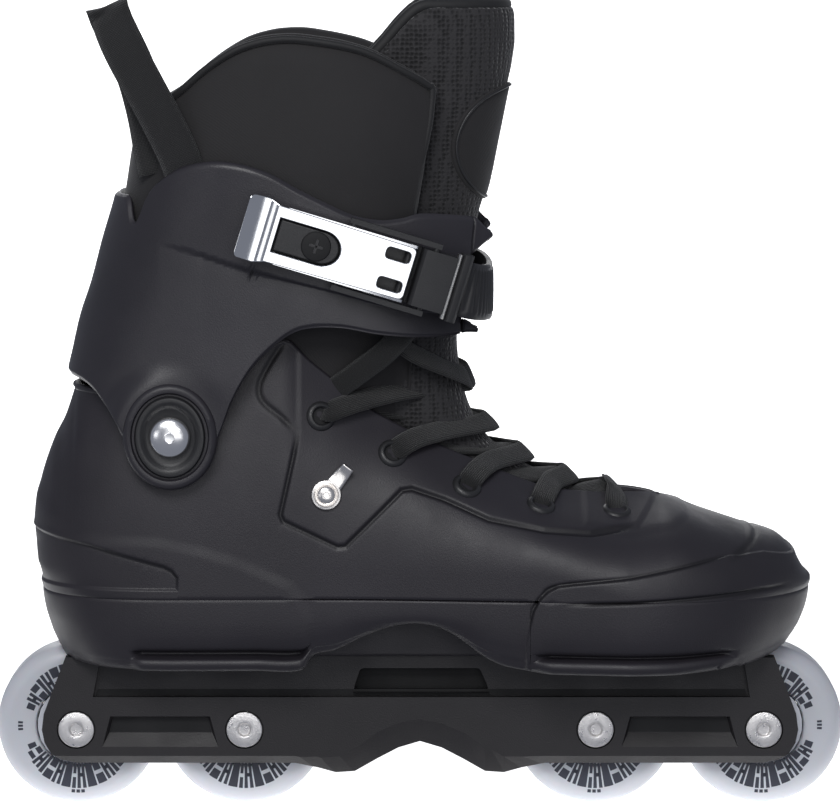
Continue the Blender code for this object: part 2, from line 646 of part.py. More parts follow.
def lace_route():
    """The lace runs from side to side across the tongue, one crossing a pair of eyelets."""
    route = []
    for row, ((x, z), (rim_x, rim_y, rim_z), (front_x, front_z)) in enumerate(LACE_ROWS):
        side = -1 if row % 2 == 0 else 1
        near = [(x, side * (shell_y(x, z, side) + LACE_LIFT), z), (rim_x, side * rim_y, rim_z)]
        far = [(rim_x, -side * rim_y, rim_z), (x, -side * (shell_y(x, z, -side) + LACE_LIFT), z)]
        route += near + [(front_x, 0, front_z)] + far
    return route


def smooth_path(points, per_span):
    """Points along a smooth curve (Catmull-Rom) through the route's points."""
    points = [Vector(point) for point in points]
    points = [points[0] * 2 - points[1]] + points + [points[-1] * 2 - points[-2]]
    path = []
    for a, b, c, d in zip(points, points[1:], points[2:], points[3:]):
        for k in range(per_span):
            t = k / per_span
            path.append(0.5 * (2 * b + (c - a) * t + (2 * a - 5 * b + 4 * c - d) * t**2
                               + (3 * b - a - 3 * c + d) * t**3))
    path.append(points[-2])
    return path


def make_lace():
    curve = bpy.data.curves.new("lace", "CURVE")
    curve.dimensions = "3D"
    curve.bevel_depth = LACE_RADIUS * MM
    curve.bevel_resolution = 1
    curve.use_fill_caps = True
    spline = curve.splines.new("POLY")
    path = smooth_path(lace_route(), 2)
    spline.points.add(len(path) - 1)
    for point, place_at in zip(spline.points, path):
        point.co = (*(place_at * MM), 1)
    place(bpy.data.objects.new("lace", curve), WEBBING)


def make_lace_hook():
    """Nickel hook plate screwed to the outer side of the shell."""
    x, z = -34, 120
    y = shell_y(x, z, -1) + 1.2
    turned("lace_hook", [(2.4, -y), (5.6, -y), (5.6, -y - 1.6), (2.4, -y - 1.6)], x * MM, z * MM, 20,
           STEEL, closed=True)
    bolt("lace_hook_screw", x * MM, z * MM, 4 * MM, 2 * MM, -(y + 3.4) * MM, -(y + 1.9) * MM, -(y - 0.5) * MM, 14)


# ---------------------------------------------------------------- cuff

CUFF_CENTRE = -48
cuff_rear_x = curve_through([(118, -131), (160, -130), (170, -128), (183, -125), (195, -121), (210, -117),
                             (227, -112), (246, -108)])
cuff_front_x = curve_through([(118, 22), (180, 26), (220, 32), (246, 32)])
cuff_half_width = curve_through([(118, 48.3), (142, 48.9), (181, 48.3), (220, 49.5), (246, 50)])
cuff_squareness = curve_through([(118, 3.6), (142, 3.4), (170, 2.9), (200, 2.5), (246, 2.4)])


def cuff_skin(x, z, side):
    """Distance of the cuff's outer face from the centre plane at (x, z) in millimetres."""
    reach = (cuff_front_x(z) if x > CUFF_CENTRE else cuff_rear_x(z)) - CUFF_CENTRE
    width = cuff_half_width(z) + (2 if side > 0 else 0)
    return width * (1 - abs((x - CUFF_CENTRE) / reach) ** cuff_squareness(z)) ** (1 / cuff_squareness(z))


def make_cuff():
    rings = []
    for z in (118, 134, 150, 166, 181, 195, 210, 228, 246):
        widths = (cuff_half_width(z), cuff_half_width(z) + 2)
        rings.append(wrap_ring(z, CUFF_CENTRE, cuff_rear_x(z), cuff_front_x(z), widths, CUFF_WALL / MM, 154,
                               cuff_squareness(z)))
    cuff = loft("cuff", rings)
    outline = [(-136, 161.5), (-136, 228), (-106.5, 228), (-105, 218.5), (-101.5, 219), (-100, 226), (-95, 233.5),
               (-87, 238.5), (-76, 241), (-65, 240.5), (-54, 237), (-44, 231.5), (-34, 226.5), (-24, 222),
               (-14, 220), (-6, 221), (0, 223), (10, 222), (22, 221), (40, 219), (40, 210), (20, 209), (16.5, 206),
               (16.5, 184), (19, 181.5), (40, 181.5), (40, 179), (14, 177), (0, 177),
               (-15, 178.5), (-29, 181), (-42, 181), (-50, 177), (-61, 166), (-68.5, 154), (-73, 141),
               (-77, 130), (-84, 124.8), (-92, 124.3), (-100, 128.5), (-106, 140), (-113, 150.5), (-119, 158),
               (-126, 161.5)]
    keep_inside(cuff, prism("cuff_outline", outline, -80 * MM, 80 * MM, cutter=True))
    return cuff


def make_pivots(cuff, shell):
    """Oval insert in the cuff and a domed bolt into the shell, on each side."""
    x, z = PIVOT.x, PIVOT.z
    for side_name, side in (("lateral", -1), ("medial", 1)):
        skin = cuff_skin(x / MM, z / MM, side)

        def oval(grow):
            return [(x / MM + (12.6 + grow) * math.cos(a), z / MM + (14.8 + grow) * math.sin(a))
                    for a in [math.tau * k / 22 for k in range(22)]]

        low, high = sorted((side * (skin - 2.6) * MM, side * (skin + 1.8) * MM))
        insert = prism(f"cuff_insert_{side_name}", oval(0), low, high)
        low, high = sorted((side * 35 * MM, side * 60 * MM))
        cut(cuff, prism(f"insert_hole_{side_name}", oval(0.5), low, high, cutter=True))
        top, bottom = (60, 30) if side > 0 else (-30, -60)
        hole = turned(f"pivot_hole_{side_name}", [(0, top), (4.4, top), (4.4, bottom), (0, bottom)], x, z, 16,
                      cutter=True)
        cut(insert, hole)
        cut(shell, hole)
        skin_y = shell_y(x / MM, z / MM, side)
        face = side * (skin + 4.8) * MM
        bolt(f"cuff_bolt_{side_name}", x, z, 7.2 * MM, 4 * MM, face, side * (skin + 2.1) * MM,
             side * (skin_y - 2.8) * MM, 16, CHROME)


# ---------------------------------------------------------------- buckle and strap

def buckle_matrix():
    """Buckle frame: X along the strap to the front, Y outwards, Z across the strap, origin at the cuff's skin
    under the lever's hinge."""
    along = Vector((math.cos(STRAP_SLOPE), 0, -math.sin(STRAP_SLOPE)))
    along = Matrix.Rotation(BUCKLE_YAW, 3, "Z") @ along
    across = Vector((math.sin(STRAP_SLOPE), 0, math.cos(STRAP_SLOPE)))
    outward = along.cross(across).normalized()
    across = along.cross(outward).normalized()
    rotation = Matrix((along, outward, across)).transposed().to_4x4()
    return Matrix.Translation(HINGE) @ rotation


def buckle_box(name, low, high, material=BLACK, cutter=False):
    obj = box(name, low, high, material, cutter)
    obj.matrix_world = buckle_matrix()
    return obj


def join(obj, *others):
    for other in others:
        modifier = obj.modifiers.new(other.name, "BOOLEAN")
        modifier.operation = "UNION"
        modifier.object = other
    return obj


PIN_HEIGHT = 4.6
BAIL_PIVOT = -22.0


def cross_rod(name, along, out, radius, reach, material, cutter=False, segments=12):
    """A round rod across the strap, in the buckle's frame."""
    bm = bmesh.new()
    bmesh.ops.create_cone(bm, cap_ends=True, segments=segments, radius1=radius * MM, radius2=radius * MM,
                          depth=2 * reach * MM)
    bmesh.ops.translate(bm, verts=bm.verts, vec=(along * MM, out * MM, 0))
    obj = mesh_object(name, bm, material, cutter)
    obj.matrix_world = buckle_matrix()
    return obj


def make_buckle(cuff):
    base = buckle_box("buckle_base", (-50, 0, -8.5), (2.2, 2.2, 8.5))
    for i, side in enumerate((-1, 1)):
        low, high = sorted((side * 3, side * 7.5))
        join(base, buckle_box(f"base_lug_{i}", (-2.6, 1.5, low), (2.2, PIN_HEIGHT + 2.2, high), cutter=True))
    cut(base, cross_rod("base_pin_hole", 0, PIN_HEIGHT, 1.7, 12, BLACK, True))
    screw_hole = buckle_hole("base_screw_hole", -32, 2.9)
    cut(base, screw_hole)
    cut(cuff, screw_hole)

    lever = buckle_box("buckle_lever", (-58, 2.6, -11), (2, 8.2, 11), CHROME)
    cut(lever, buckle_box("lever_underside", (-59, 2, -9.4), (4, 6.7, 9.4), cutter=True))
    cut(lever, buckle_box("lever_window", (-48, 5, -6.5), (-24, 10, 6.5), cutter=True))
    for i, side in enumerate((-1, 1)):
        low, high = sorted((side * 2.4, side * 8.1))
        cut(lever, buckle_box(f"lever_slot_{i}", (-4.5, 5, low), (4, 10, high), cutter=True))
    cut(lever, cross_rod("lever_pin_hole", 0, PIN_HEIGHT, 1.7, 14, BLACK, True))
    cut(lever, cross_rod("lever_bail_hole", BAIL_PIVOT, PIN_HEIGHT, 1.5, 14, BLACK, True))
    cross_rod("buckle_pin", 0, PIN_HEIGHT, 1.35, 10.8, STEEL)

    bail = cross_rod("buckle_bail", 9, PIN_HEIGHT, 1.15, 13, STEEL, segments=10)
    join(bail, cross_rod("bail_axle", BAIL_PIVOT, PIN_HEIGHT, 1.15, 13, STEEL, True, 10))
    for i, side in enumerate((-1, 1)):
        low, high = sorted((side * 11.5, side * 13.4))
        join(bail, buckle_box(f"bail_arm_{i}", (BAIL_PIVOT - 1.6, PIN_HEIGHT - 1.2, low),
                              (10.6, PIN_HEIGHT + 1.2, high), cutter=True))

    bracket = buckle_box("strap_bracket", (5, -0.8, -10.5), (16, 2.2, 10.5))
    join(bracket, buckle_box("bracket_lip", (5, 1.5, -9), (7.4, 6.2, 9), cutter=True))
    keeper = buckle_box("strap_keeper", (18.5, -2.8, -12.6), (22, 4.0, 12.6))
    cut(keeper, buckle_box("keeper_slot", (18, -1.8, -11.2), (23, 3.0, 11.2), cutter=True))
    buckle_screw()
    return lever


def buckle_hole(name, along, radius):
    bm = bmesh.new()
    bmesh.ops.create_cone(bm, cap_ends=True, segments=16, radius1=radius * MM, radius2=radius * MM, depth=20 * MM)
    bmesh.ops.rotate(bm, verts=bm.verts, cent=(0, 0, 0), matrix=Matrix.Rotation(math.pi / 2, 3, "X"))
    bmesh.ops.translate(bm, verts=bm.verts, vec=(along * MM, 0, 0))
    obj = mesh_object(name, bm, cutter=True)
    obj.matrix_world = buckle_matrix()
    return obj


def buckle_screw():
    """Screw that holds the buckle's base on the cuff."""
    obj = turned("buckle_screw", [(0, 4.4), (4.2, 4.0), (4.6, 2.5), (2.5, 2.5), (2.5, -5), (0, -5)], 0, 0, 14, STEEL)
    obj.matrix_world = buckle_matrix() @ Matrix.Translation((-32 * MM, 0, 0)) @ Matrix.Rotation(
        -math.pi / 2, 4, "X")
    return obj


STRAP_ANCHOR = (-42, 205)


def lateral_reach(obj):
    """How far an object's own corners stand out on the lateral side."""
    bpy.context.view_layer.update()
    return max(-(obj.matrix_world @ Vector(corner)).y for corner in obj.bound_box)


def make_strap(cuff, reach):
    """Strap from the bracket round the front to its anchor on the medial side of the cuff. The anchor's head
    stands out as far as the buckle does on the other side."""
    near = [tuple(buckle_matrix() @ Vector((along * MM, 0.6 * MM, 0)) / MM) for along in (16.5, 24.3)]
    front = [(21.5, -41, 193.6), (24, -32, 193), (25, -20, 192.3), (25.4, 0, 192), (24.4, 19, 192.5),
             (21, 31, 193.6), (13, 40, 195.4), (0, 45.9, 198), (-14, 50, 200.5), (-28, 52.4, 203),
             (-42, 53.4, 205), (-50, 53.7, 206)]
    path = near + front
    widths = [20] * (len(path) - 1) + [14]

    def across(i):
        ahead = Vector(path[min(i + 1, len(path) - 1)]) - Vector(path[max(i - 1, 0)])
        up = Vector((0, 0, 1))
        return up - ahead * up.dot(ahead) / ahead.length_squared
    strap = ribbon("buckle_strap", [tuple(point) for point in path], widths, 2.4, BLACK, across)
    x, z = STRAP_ANCHOR
    hole = turned("anchor_hole", [(0, 70), (3.4, 70), (3.4, 35), (0, 35)], x * MM, z * MM, 14, cutter=True)
    cut(strap, hole)
    cut(cuff, hole)
    bolt("strap_anchor", x * MM, z * MM, 8 * MM, 3 * MM, reach, 55 * MM, 47 * MM, 18)


for number, axle_x in enumerate(AXLES, start=1):
    make_wheel(number, axle_x)
make_frame()
sole_plate("sole_plate_rear", True)
sole_plate("sole_plate_front", False)
shell_body = make_shell()
make_liner_foot()
make_insole()
make_collar()
make_tongue()
make_pull_loop()
make_lace()
make_lace_hook()
cuff_body = make_cuff()
make_pivots(cuff_body, shell_body)
buckle_lever = make_buckle(cuff_body)
make_strap(cuff_body, lateral_reach(buckle_lever))
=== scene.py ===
"""Looks of the inline skate: moulded skins, fabric, laces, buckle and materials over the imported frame.

X points to the toe, Y to the inner (medial) side, Z up. Shapes are worked out in millimetres and turned
into metres by MM when a mesh is made.
"""
import math

import bmesh
import bpy
import numpy as np
from mathutils import Matrix, Vector, noise


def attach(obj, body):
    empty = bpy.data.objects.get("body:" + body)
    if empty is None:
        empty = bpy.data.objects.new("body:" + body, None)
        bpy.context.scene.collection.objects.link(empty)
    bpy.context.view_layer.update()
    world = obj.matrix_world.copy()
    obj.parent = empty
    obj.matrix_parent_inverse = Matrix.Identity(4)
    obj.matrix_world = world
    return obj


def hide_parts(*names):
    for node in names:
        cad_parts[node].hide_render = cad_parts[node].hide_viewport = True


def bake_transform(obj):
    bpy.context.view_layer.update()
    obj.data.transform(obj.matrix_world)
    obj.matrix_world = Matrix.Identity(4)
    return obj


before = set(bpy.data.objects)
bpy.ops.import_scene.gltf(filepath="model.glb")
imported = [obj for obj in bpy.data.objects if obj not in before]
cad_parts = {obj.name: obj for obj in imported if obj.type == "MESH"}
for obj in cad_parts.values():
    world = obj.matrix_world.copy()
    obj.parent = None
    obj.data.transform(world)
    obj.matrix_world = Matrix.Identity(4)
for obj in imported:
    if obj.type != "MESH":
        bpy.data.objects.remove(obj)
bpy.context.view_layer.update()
MM = 0.001

# Driving sizes, as in the CAD model, in millimetres
WHEEL_RADIUS = 30
WHEEL_HALF_WIDTH = 12
FLAT_RADIUS = 24.2
AXLES = (-126.75, -64.75, 64.75, 126.75)
FRAME_HALF_WIDTH = 21
HEEL_X, TOE_X = -139.4, 143.5
SEAM_Z = 82
SOLE_SPLIT_X = 40
PIVOT = (-90, 142)
HINGE = Vector((-6, -47.8, 202))
STRAP_SLOPE = math.radians(17)
BUCKLE_YAW = math.radians(4)
# (x, z) of the eyelets, toe first
EYELETS = ((72, 111.5), (44, 114.5), (17, 122), (-10, 134), (-36, 148))

SIDES = (("lateral", -1), ("medial", 1))

# Edges sharper than this stay crisp, in degrees
TURNED_SHARP_ANGLE = 38
BUCKLE_SHARP_ANGLE = 14
# Grooves are split finely up to this far from their lines
GROOVE_REACH = 2.8


# ---------------------------------------------------------------- camera, light and stage

def make_camera():
    """Long lens at the ankle's height, square to the outer side and tilted down a little."""
    data = bpy.data.cameras.new("camera")
    data.lens = 188.8
    data.sensor_width = 36
    camera = bpy.data.objects.new("camera", data)
    camera.location = (0, -1.620, 0.337)
    camera.rotation_euler = (math.radians(90 - 6.6), 0, 0)
    bpy.context.scene.collection.objects.link(camera)
    bpy.context.scene.camera = camera


def area_light(name, location, target, size, power):
    data = bpy.data.lights.new(name, "AREA")
    data.shape = "RECTANGLE"
    data.size, data.size_y = size
    data.energy = power
    light = bpy.data.objects.new(name, data)
    light.location = location
    light.rotation_euler = (Vector(target) - Vector(location)).to_track_quat("-Z", "Y").to_euler()
    bpy.context.scene.collection.objects.link(light)


def make_studio():
    """White sweep under broad, soft lights."""
    bpy.context.scene.view_settings.view_transform = "Standard"
    world = bpy.data.worlds.new("studio")
    world.use_nodes = True
    tree = world.node_tree
    light = tree.nodes["Background"]
    light.inputs["Color"].default_value = (0.80, 0.85, 1.0, 1)
    light.inputs["Strength"].default_value = 0.24
    surroundings = tree.nodes.new("ShaderNodeBackground")
    surroundings.inputs["Color"].default_value = (1, 1, 1, 1)
    mixed = tree.nodes.new("ShaderNodeMixShader")
    tree.links.new(mixed.inputs[0], tree.nodes.new("ShaderNodeLightPath").outputs["Is Camera Ray"])
    tree.links.new(mixed.inputs[1], light.outputs[0])
    tree.links.new(mixed.inputs[2], surroundings.outputs[0])
    tree.links.new(tree.nodes["World Output"].inputs["Surface"], mixed.outputs[0])
    bpy.context.scene.world = world
    area_light("key", (-0.3, -1.35, 1.15), (-0.03, 0, 0.17), (0.8, 0.6), 12.5)
    area_light("front", (0.3, -2.2, 0.75), (0, 0, 0.15), (1.0, 0.4), 4.2)
    area_light("card", (0.2, -1.8, 0.10), (0, 0, 0.2), (1.2, 0.36), 2.2)
    area_light("side_card", (-1.15, -1.35, 0.22), (-0.05, 0, 0.2), (0.55, 0.4), 0.9)
    area_light("rear", (-0.3, 1.5, 1.1), (0, 0, 0.17), (0.9, 0.6), 5)
    white = stage_white()
    half, near, far, top = 0.4, -0.03, 1.3, 0.6
    stage_plane("floor", [(-half, near, -0.0005), (half, near, -0.0005), (half, far, -0.0005),
                          (-half, far, -0.0005)], white)
    stage_plane("backdrop", [(-half, far, -0.001), (half, far, -0.001), (half, far, top), (-half, far, top)],
                white)


def stage_white():
    """Pale, evenly lit stage that is clear from its back, so that it never hides the skate."""
    white = bpy.data.materials.new("stage_white")
    white.use_nodes = True
    tree = white.node_tree
    surface = tree.nodes["Principled BSDF"]
    surface.inputs["Base Color"].default_value = (0.9, 0.9, 0.9, 1)
    surface.inputs["Roughness"].default_value = 0.9
    surface.inputs["Specular IOR Level"].default_value = 0.1
    surface.inputs["Emission Color"].default_value = (1, 1, 1, 1)
    surface.inputs["Emission Strength"].default_value = 0.97
    mixed = tree.nodes.new("ShaderNodeMixShader")
    tree.links.new(mixed.inputs[0], tree.nodes.new("ShaderNodeNewGeometry").outputs["Backfacing"])
    tree.links.new(mixed.inputs[1], surface.outputs[0])
    tree.links.new(mixed.inputs[2], tree.nodes.new("ShaderNodeBsdfTransparent").outputs[0])
    tree.links.new(tree.nodes["Material Output"].inputs["Surface"], mixed.outputs[0])
    return white


def stage_plane(name, corners, material):
    mesh = bpy.data.meshes.new(name)
    mesh.from_pydata(corners, [], [(0, 1, 2, 3)])
    mesh.materials.append(material)
    plane = bpy.data.objects.new(name, mesh)
    bpy.context.scene.collection.objects.link(plane)


# ---------------------------------------------------------------- materials

class Nodes:
    """Short hand for building a material's node tree."""

    def __init__(self, name):
        self.material = bpy.data.materials.new(name)
        self.material.use_nodes = True
        self.tree = self.material.node_tree
        self.surface = self.tree.nodes["Principled BSDF"]
        self.object_coords = self.add("ShaderNodeTexCoord").outputs["Object"]

    def add(self, kind, **values):
        node = self.tree.nodes.new(kind)
        for key, value in values.items():
            if key in node.inputs:
                node.inputs[key].default_value = value
            else:
                setattr(node, key, value)
        return node

    def link(self, source, target):
        self.tree.links.new(source, target)

    def noise(self, scale, detail=3.0, stretch=None):
        node = self.add("ShaderNodeTexNoise", Scale=scale, Detail=detail)
        coords = self.object_coords
        if stretch:
            mapping = self.add("ShaderNodeMapping", Scale=stretch)
            self.link(coords, mapping.inputs["Vector"])
            coords = mapping.outputs["Vector"]
        self.link(coords, node.inputs["Vector"])
        return node.outputs["Fac"]

    def span(self, value, low, high, start=0.3, stop=0.7):
        """Maps value's middle part onto low..high."""
        node = self.add("ShaderNodeMapRange")
        for key, number in (("From Min", start), ("From Max", stop), ("To Min", low), ("To Max", high)):
            node.inputs[key].default_value = number
        self.link(value, node.inputs["Value"])
        return node.outputs["Result"]

    def tint(self, factor, dark, light):
        node = self.add("ShaderNodeMix", data_type="RGBA")
        node.inputs[6].default_value = (*dark, 1)
        node.inputs[7].default_value = (*light, 1)
        self.link(factor, node.inputs[0])
        self.link(node.outputs[2], self.surface.inputs["Base Color"])

    def bump(self, height, strength, distance, base=None):
        node = self.add("ShaderNodeBump", Strength=strength, Distance=distance)
        self.link(height, node.inputs["Height"])
        if base:
            self.link(base, node.inputs["Normal"])
        self.link(node.outputs["Normal"], self.surface.inputs["Normal"])
        return node.outputs["Normal"]

    def math(self, operation, a, b):
        node = self.add("ShaderNodeMath", operation=operation)
        for socket, value in zip(node.inputs, (a, b)):
            if isinstance(value, (int, float)):
                socket.default_value = value
            else:
                self.link(value, socket)
        return node.outputs[0]


def shade(colour, factor):
    return tuple(channel * factor for channel in colour)


def moulded_plastic(name, colour, roughness, grain=0.3):
    """Satin moulded nylon: fine spark-eroded grain, faint flow marks and handling scuffs, with painted shade
    darkening the grooves of embossed skins.
    """
    nodes = Nodes(name)
    groove_shade = nodes.add("ShaderNodeAttribute", attribute_name="groove_shade_depth").outputs["Fac"]
    # Painted shade: the random mottle is made darker along the grooves, by the weight that each embossed skin
    # stores at its points.
    mottle_and_groove_shade = nodes.math("SUBTRACT", nodes.span(nodes.noise(22, 4), 0.55, 1),
                        nodes.math("MULTIPLY", groove_shade, 2.0))
    nodes.tint(mottle_and_groove_shade, shade(colour, 0.45), shade(colour, 1.1))
    nodes.link(nodes.span(nodes.noise(65, 6), roughness - 0.05, roughness + 0.08),
               nodes.surface.inputs["Roughness"])
    first = nodes.bump(nodes.noise(1900, 2), grain, 0.00022)
    nodes.bump(nodes.noise(34, 2), 0.12, 0.0012, first)
    return nodes.material


def mesh_fabric(name, colour):
    """Open spacer mesh: rows of small round holes in a knitted face."""
    nodes = Nodes(name)
    cells = nodes.add("ShaderNodeTexVoronoi", Scale=600.0, Randomness=0.3)
    nodes.link(nodes.object_coords, cells.inputs["Vector"])
    holes = nodes.span(cells.outputs["Distance"], 1, 0, 0.1, 0.55)
    nodes.tint(holes, shade(colour, 2.6), shade(colour, 0.25))
    nodes.surface.inputs["Roughness"].default_value = 0.78
    nodes.surface.inputs["Sheen Weight"].default_value = 0.25
    nodes.surface.inputs["Sheen Roughness"].default_value = 0.4
    first = nodes.bump(holes, 0.9, -0.0006)
    nodes.bump(nodes.noise(2600, 3), 0.35, 0.0002, first)
    return nodes.material


def smooth_fabric(name, colour, roughness=0.8):
    """Tightly woven nylon face over foam, with slight wrinkles."""
    nodes = Nodes(name)
    nodes.tint(nodes.noise(40, 5), shade(colour, 0.8), shade(colour, 1.25))
    nodes.surface.inputs["Roughness"].default_value = roughness
    nodes.surface.inputs["Sheen Weight"].default_value = 0.18
    nodes.surface.inputs["Sheen Roughness"].default_value = 0.45
    weave = nodes.add("ShaderNodeTexWave", Scale=520.0, bands_direction="DIAGONAL", Distortion=0.6)
    nodes.link(nodes.object_coords, weave.inputs["Vector"])
    first = nodes.bump(weave.outputs["Fac"], 0.16, 0.00018)
    second = nodes.bump(nodes.noise(1500, 3), 0.35, 0.0002, first)
    nodes.bump(nodes.noise(46, 3), 0.25, 0.0016, second)
    return nodes.material


def woven_band(name, colour, ribs, roughness=0.82):
    """Webbing or flat lace: a herringbone of ribs in the band's own coordinates, which are millimetres."""
    nodes = Nodes(name)
    coords = nodes.add("ShaderNodeTexCoord").outputs["UV"]
    waves = []
    for direction in "XY":
        wave = nodes.add("ShaderNodeTexWave", Scale=ribs, bands_direction=direction, Distortion=1.2)
        nodes.link(coords, wave.inputs["Vector"])
        waves.append(wave.outputs["Fac"])
    weave = nodes.math("MULTIPLY", *waves)
    nodes.tint(weave, shade(colour, 0.55), shade(colour, 1.6))
    nodes.surface.inputs["Roughness"].default_value = roughness
    nodes.surface.inputs["Sheen Weight"].default_value = 0.2
    first = nodes.bump(weave, 0.75, 0.0004)
    nodes.bump(nodes.noise(2200, 3), 0.4, 0.0002, first)
    return nodes.material


def metal(name, colour, roughness, grain=300, bump=0.05):
    nodes = Nodes(name)
    nodes.surface.inputs["Metallic"].default_value = 1.0
    nodes.tint(nodes.noise(grain, 4), shade(colour, 0.88), colour)
    nodes.link(nodes.span(nodes.noise(grain * 0.6, 5), roughness * 0.75, roughness * 1.4),
               nodes.surface.inputs["Roughness"])
    nodes.bump(nodes.noise(grain * 4, 3), bump, 0.0001)
    return nodes.material


def cast_urethane(name, colour):
    """Pale wheel rubber, a little translucent, with faint patchy grime all over."""
    nodes = Nodes(name)
    nodes.tint(nodes.noise(60, 5), shade(colour, 0.92), shade(colour, 1.03))
    nodes.surface.inputs["Subsurface Weight"].default_value = 0.12
    nodes.surface.inputs["Subsurface Scale"].default_value = 0.004
    nodes.link(nodes.span(nodes.noise(120, 5), 0.28, 0.42), nodes.surface.inputs["Roughness"])
    nodes.bump(nodes.noise(900, 2), 0.06, 0.0002)
    return nodes.material


BOOT_BLACK = moulded_plastic("boot_plastic", (0.0225, 0.020, 0.0255), 0.46)
CUFF_BLACK = moulded_plastic("cuff_plastic", (0.028, 0.026, 0.032), 0.40)
FRAME_BLACK = moulded_plastic("frame_plastic", (0.0185, 0.0168, 0.0185), 0.5, 0.4)
TRIM_BLACK = moulded_plastic("trim_plastic", (0.022, 0.022, 0.024), 0.38, 0.2)
STRAP_BLACK = moulded_plastic("strap_plastic", (0.020, 0.020, 0.022), 0.44, 0.25)
DEEP_BLACK = moulded_plastic("shadow_plastic", (0.006, 0.006, 0.007), 0.7, 0.2)
LINER_BLACK = smooth_fabric("liner_nylon", (0.016, 0.015, 0.016))
PIPING_BLACK = smooth_fabric("liner_piping", (0.010, 0.010, 0.011), 0.65)
TONGUE_MESH = mesh_fabric("tongue_mesh", (0.0105, 0.0100, 0.0108))
LACE_BLACK = woven_band("lace_braid", (0.0035, 0.0035, 0.004), 0.9)
WEBBING_BLACK = woven_band("webbing", (0.012, 0.012, 0.013), 0.55)
URETHANE = cast_urethane("tyre_urethane", (0.60, 0.615, 0.66))
PRINT_GREY = moulded_plastic("wheel_print", (0.035, 0.038, 0.055), 0.4, 0.1)
HUB_WHITE = moulded_plastic("hub_nylon", (0.66, 0.68, 0.74), 0.4, 0.2)
NICKEL = metal("nickel", (0.93, 0.90, 0.87), 0.26)
POLISHED = metal("polished_steel", (0.95, 0.95, 0.96), 0.22, 60, 0.004)
CHROME = metal("chrome", (0.90, 0.91, 0.93), 0.10, 60, 0.004)
STEEL = metal("steel", (0.60, 0.59, 0.57), 0.3)
KNURLED_STEEL = metal("knurled_steel", (0.88, 0.86, 0.85), 0.32, 900, 1.6)


# ---------------------------------------------------------------- geometry helpers

def curve_through(points):
    """A smooth function through given (x, value) points."""
    xs = [point[0] for point in points]
    ys = [point[1] for point in points]
    slopes = []
    for i in range(len(xs)):
        before, after = max(i - 1, 0), min(i + 1, len(xs) - 1)
        slopes.append((ys[after] - ys[before]) / (xs[after] - xs[before]))

    def value(x):
        x = min(max(x, xs[0]), xs[-1])
        k = max(i for i in range(len(xs) - 1) if xs[i] <= x)
        width = xs[k + 1] - xs[k]
        t = (x - xs[k]) / width
        return ((2 * t**3 - 3 * t**2 + 1) * ys[k] + (t**3 - 2 * t**2 + t) * width * slopes[k]
                + (-2 * t**3 + 3 * t**2) * ys[k + 1] + (t**3 - t**2) * width * slopes[k + 1])
    return value


def ease(low, high, x):
    """0 below low, 1 above high and smooth between them."""
    t = min(max((x - low) / (high - low), 0.0), 1.0)
    return t * t * (3 - 2 * t)


def mix(a, b, t):
    return a + (b - a) * t


def window(x, start, stop, soft):
    """1 between start and stop, fading to 0 over soft."""
    return ease(start - soft, start, x) * (1 - ease(stop, stop + soft, x))


def piece(name, mesh, material, body, slot, *nodes, smooth=True):
    """New piece that rides on a body and stands for CAD nodes, if any; its slot argument is not used.

    A piece without a body is left unattached.
    """
    mesh.name = name
    mesh.materials.append(material)
    if smooth:
        mesh.shade_smooth()
    obj = bpy.data.objects.new(name, mesh)
    bpy.context.scene.collection.objects.link(obj)
    if body:
        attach(obj, body)
    if nodes:
        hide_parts(*nodes)
    return obj


def mesh_from(points, faces, weld=0.0, recalculate=True):
    """Mesh from points in millimetres."""
    mesh = bpy.data.meshes.new("piece")
    mesh.from_pydata([tuple(Vector(point) * MM) for point in points], [], faces)
    if weld or recalculate:
        bm = bmesh.new()
        bm.from_mesh(mesh)
        if weld:
            bmesh.ops.remove_doubles(bm, verts=bm.verts, dist=weld * MM)
        if recalculate:
            bmesh.ops.recalc_face_normals(bm, faces=bm.faces)
        bm.to_mesh(mesh)
        bm.free()
    return mesh


def joined(rings):
    return [point for ring in rings for point in ring]


def grid_faces(rows, columns, wrap_rows=False, wrap_columns=False):
    faces = []
    for i in range(rows if wrap_rows else rows - 1):
        for j in range(columns if wrap_columns else columns - 1):
            a, b = i * columns + j, i * columns + (j + 1) % columns
            after = (i + 1) % rows * columns
            faces.append((a, b, after + (j + 1) % columns, after + j))
    return faces


def end_caps(rows, columns):
    return [tuple(reversed(range(columns))), tuple(range((rows - 1) * columns, rows * columns))]


def loft_mesh(rings, closed_ring=True):
    """Surface through rings of as many points each, in millimetres, with caps where the rings are closed."""
    rows, columns = len(rings), len(rings[0])
    faces = grid_faces(rows, columns, wrap_columns=closed_ring)
    if closed_ring:
        faces += end_caps(rows, columns)
    return mesh_from(joined(rings), faces)


def smooth_path(points, per_span):
    """Points along a smooth curve (Catmull-Rom) through the route's points."""
    points = [Vector(point) for point in points]
    points = [points[0] * 2 - points[1]] + points + [points[-1] * 2 - points[-2]]
    path = []
    for a, b, c, d in zip(points, points[1:], points[2:], points[3:]):
        for k in range(per_span):
            t = k / per_span
            path.append(0.5 * (2 * b + (c - a) * t + (2 * a - 5 * b + 4 * c - d) * t**2
                               + (3 * b - a - 3 * c + d) * t**3))
    path.append(points[-2])
    return path


def bezier(handles, steps):
    """Points of a cubic Bezier curve, ends included."""
    a, b, c, d = handles
    return [a * (1 - t)**3 + b * 3 * t * (1 - t)**2 + c * 3 * t**2 * (1 - t) + d * t**3
            for t in [k / steps for k in range(steps + 1)]]


def path_frames(path, ups):
    """(tangent, side, up) at each point; ups are the wanted outward directions."""
    frames = []
    for i, up in enumerate(ups):
        ahead = (path[min(i + 1, len(path) - 1)] - path[max(i - 1, 0)]).normalized()
        side = ahead.cross(up).normalized()
        frames.append((ahead, side, side.cross(ahead).normalized()))
    return frames


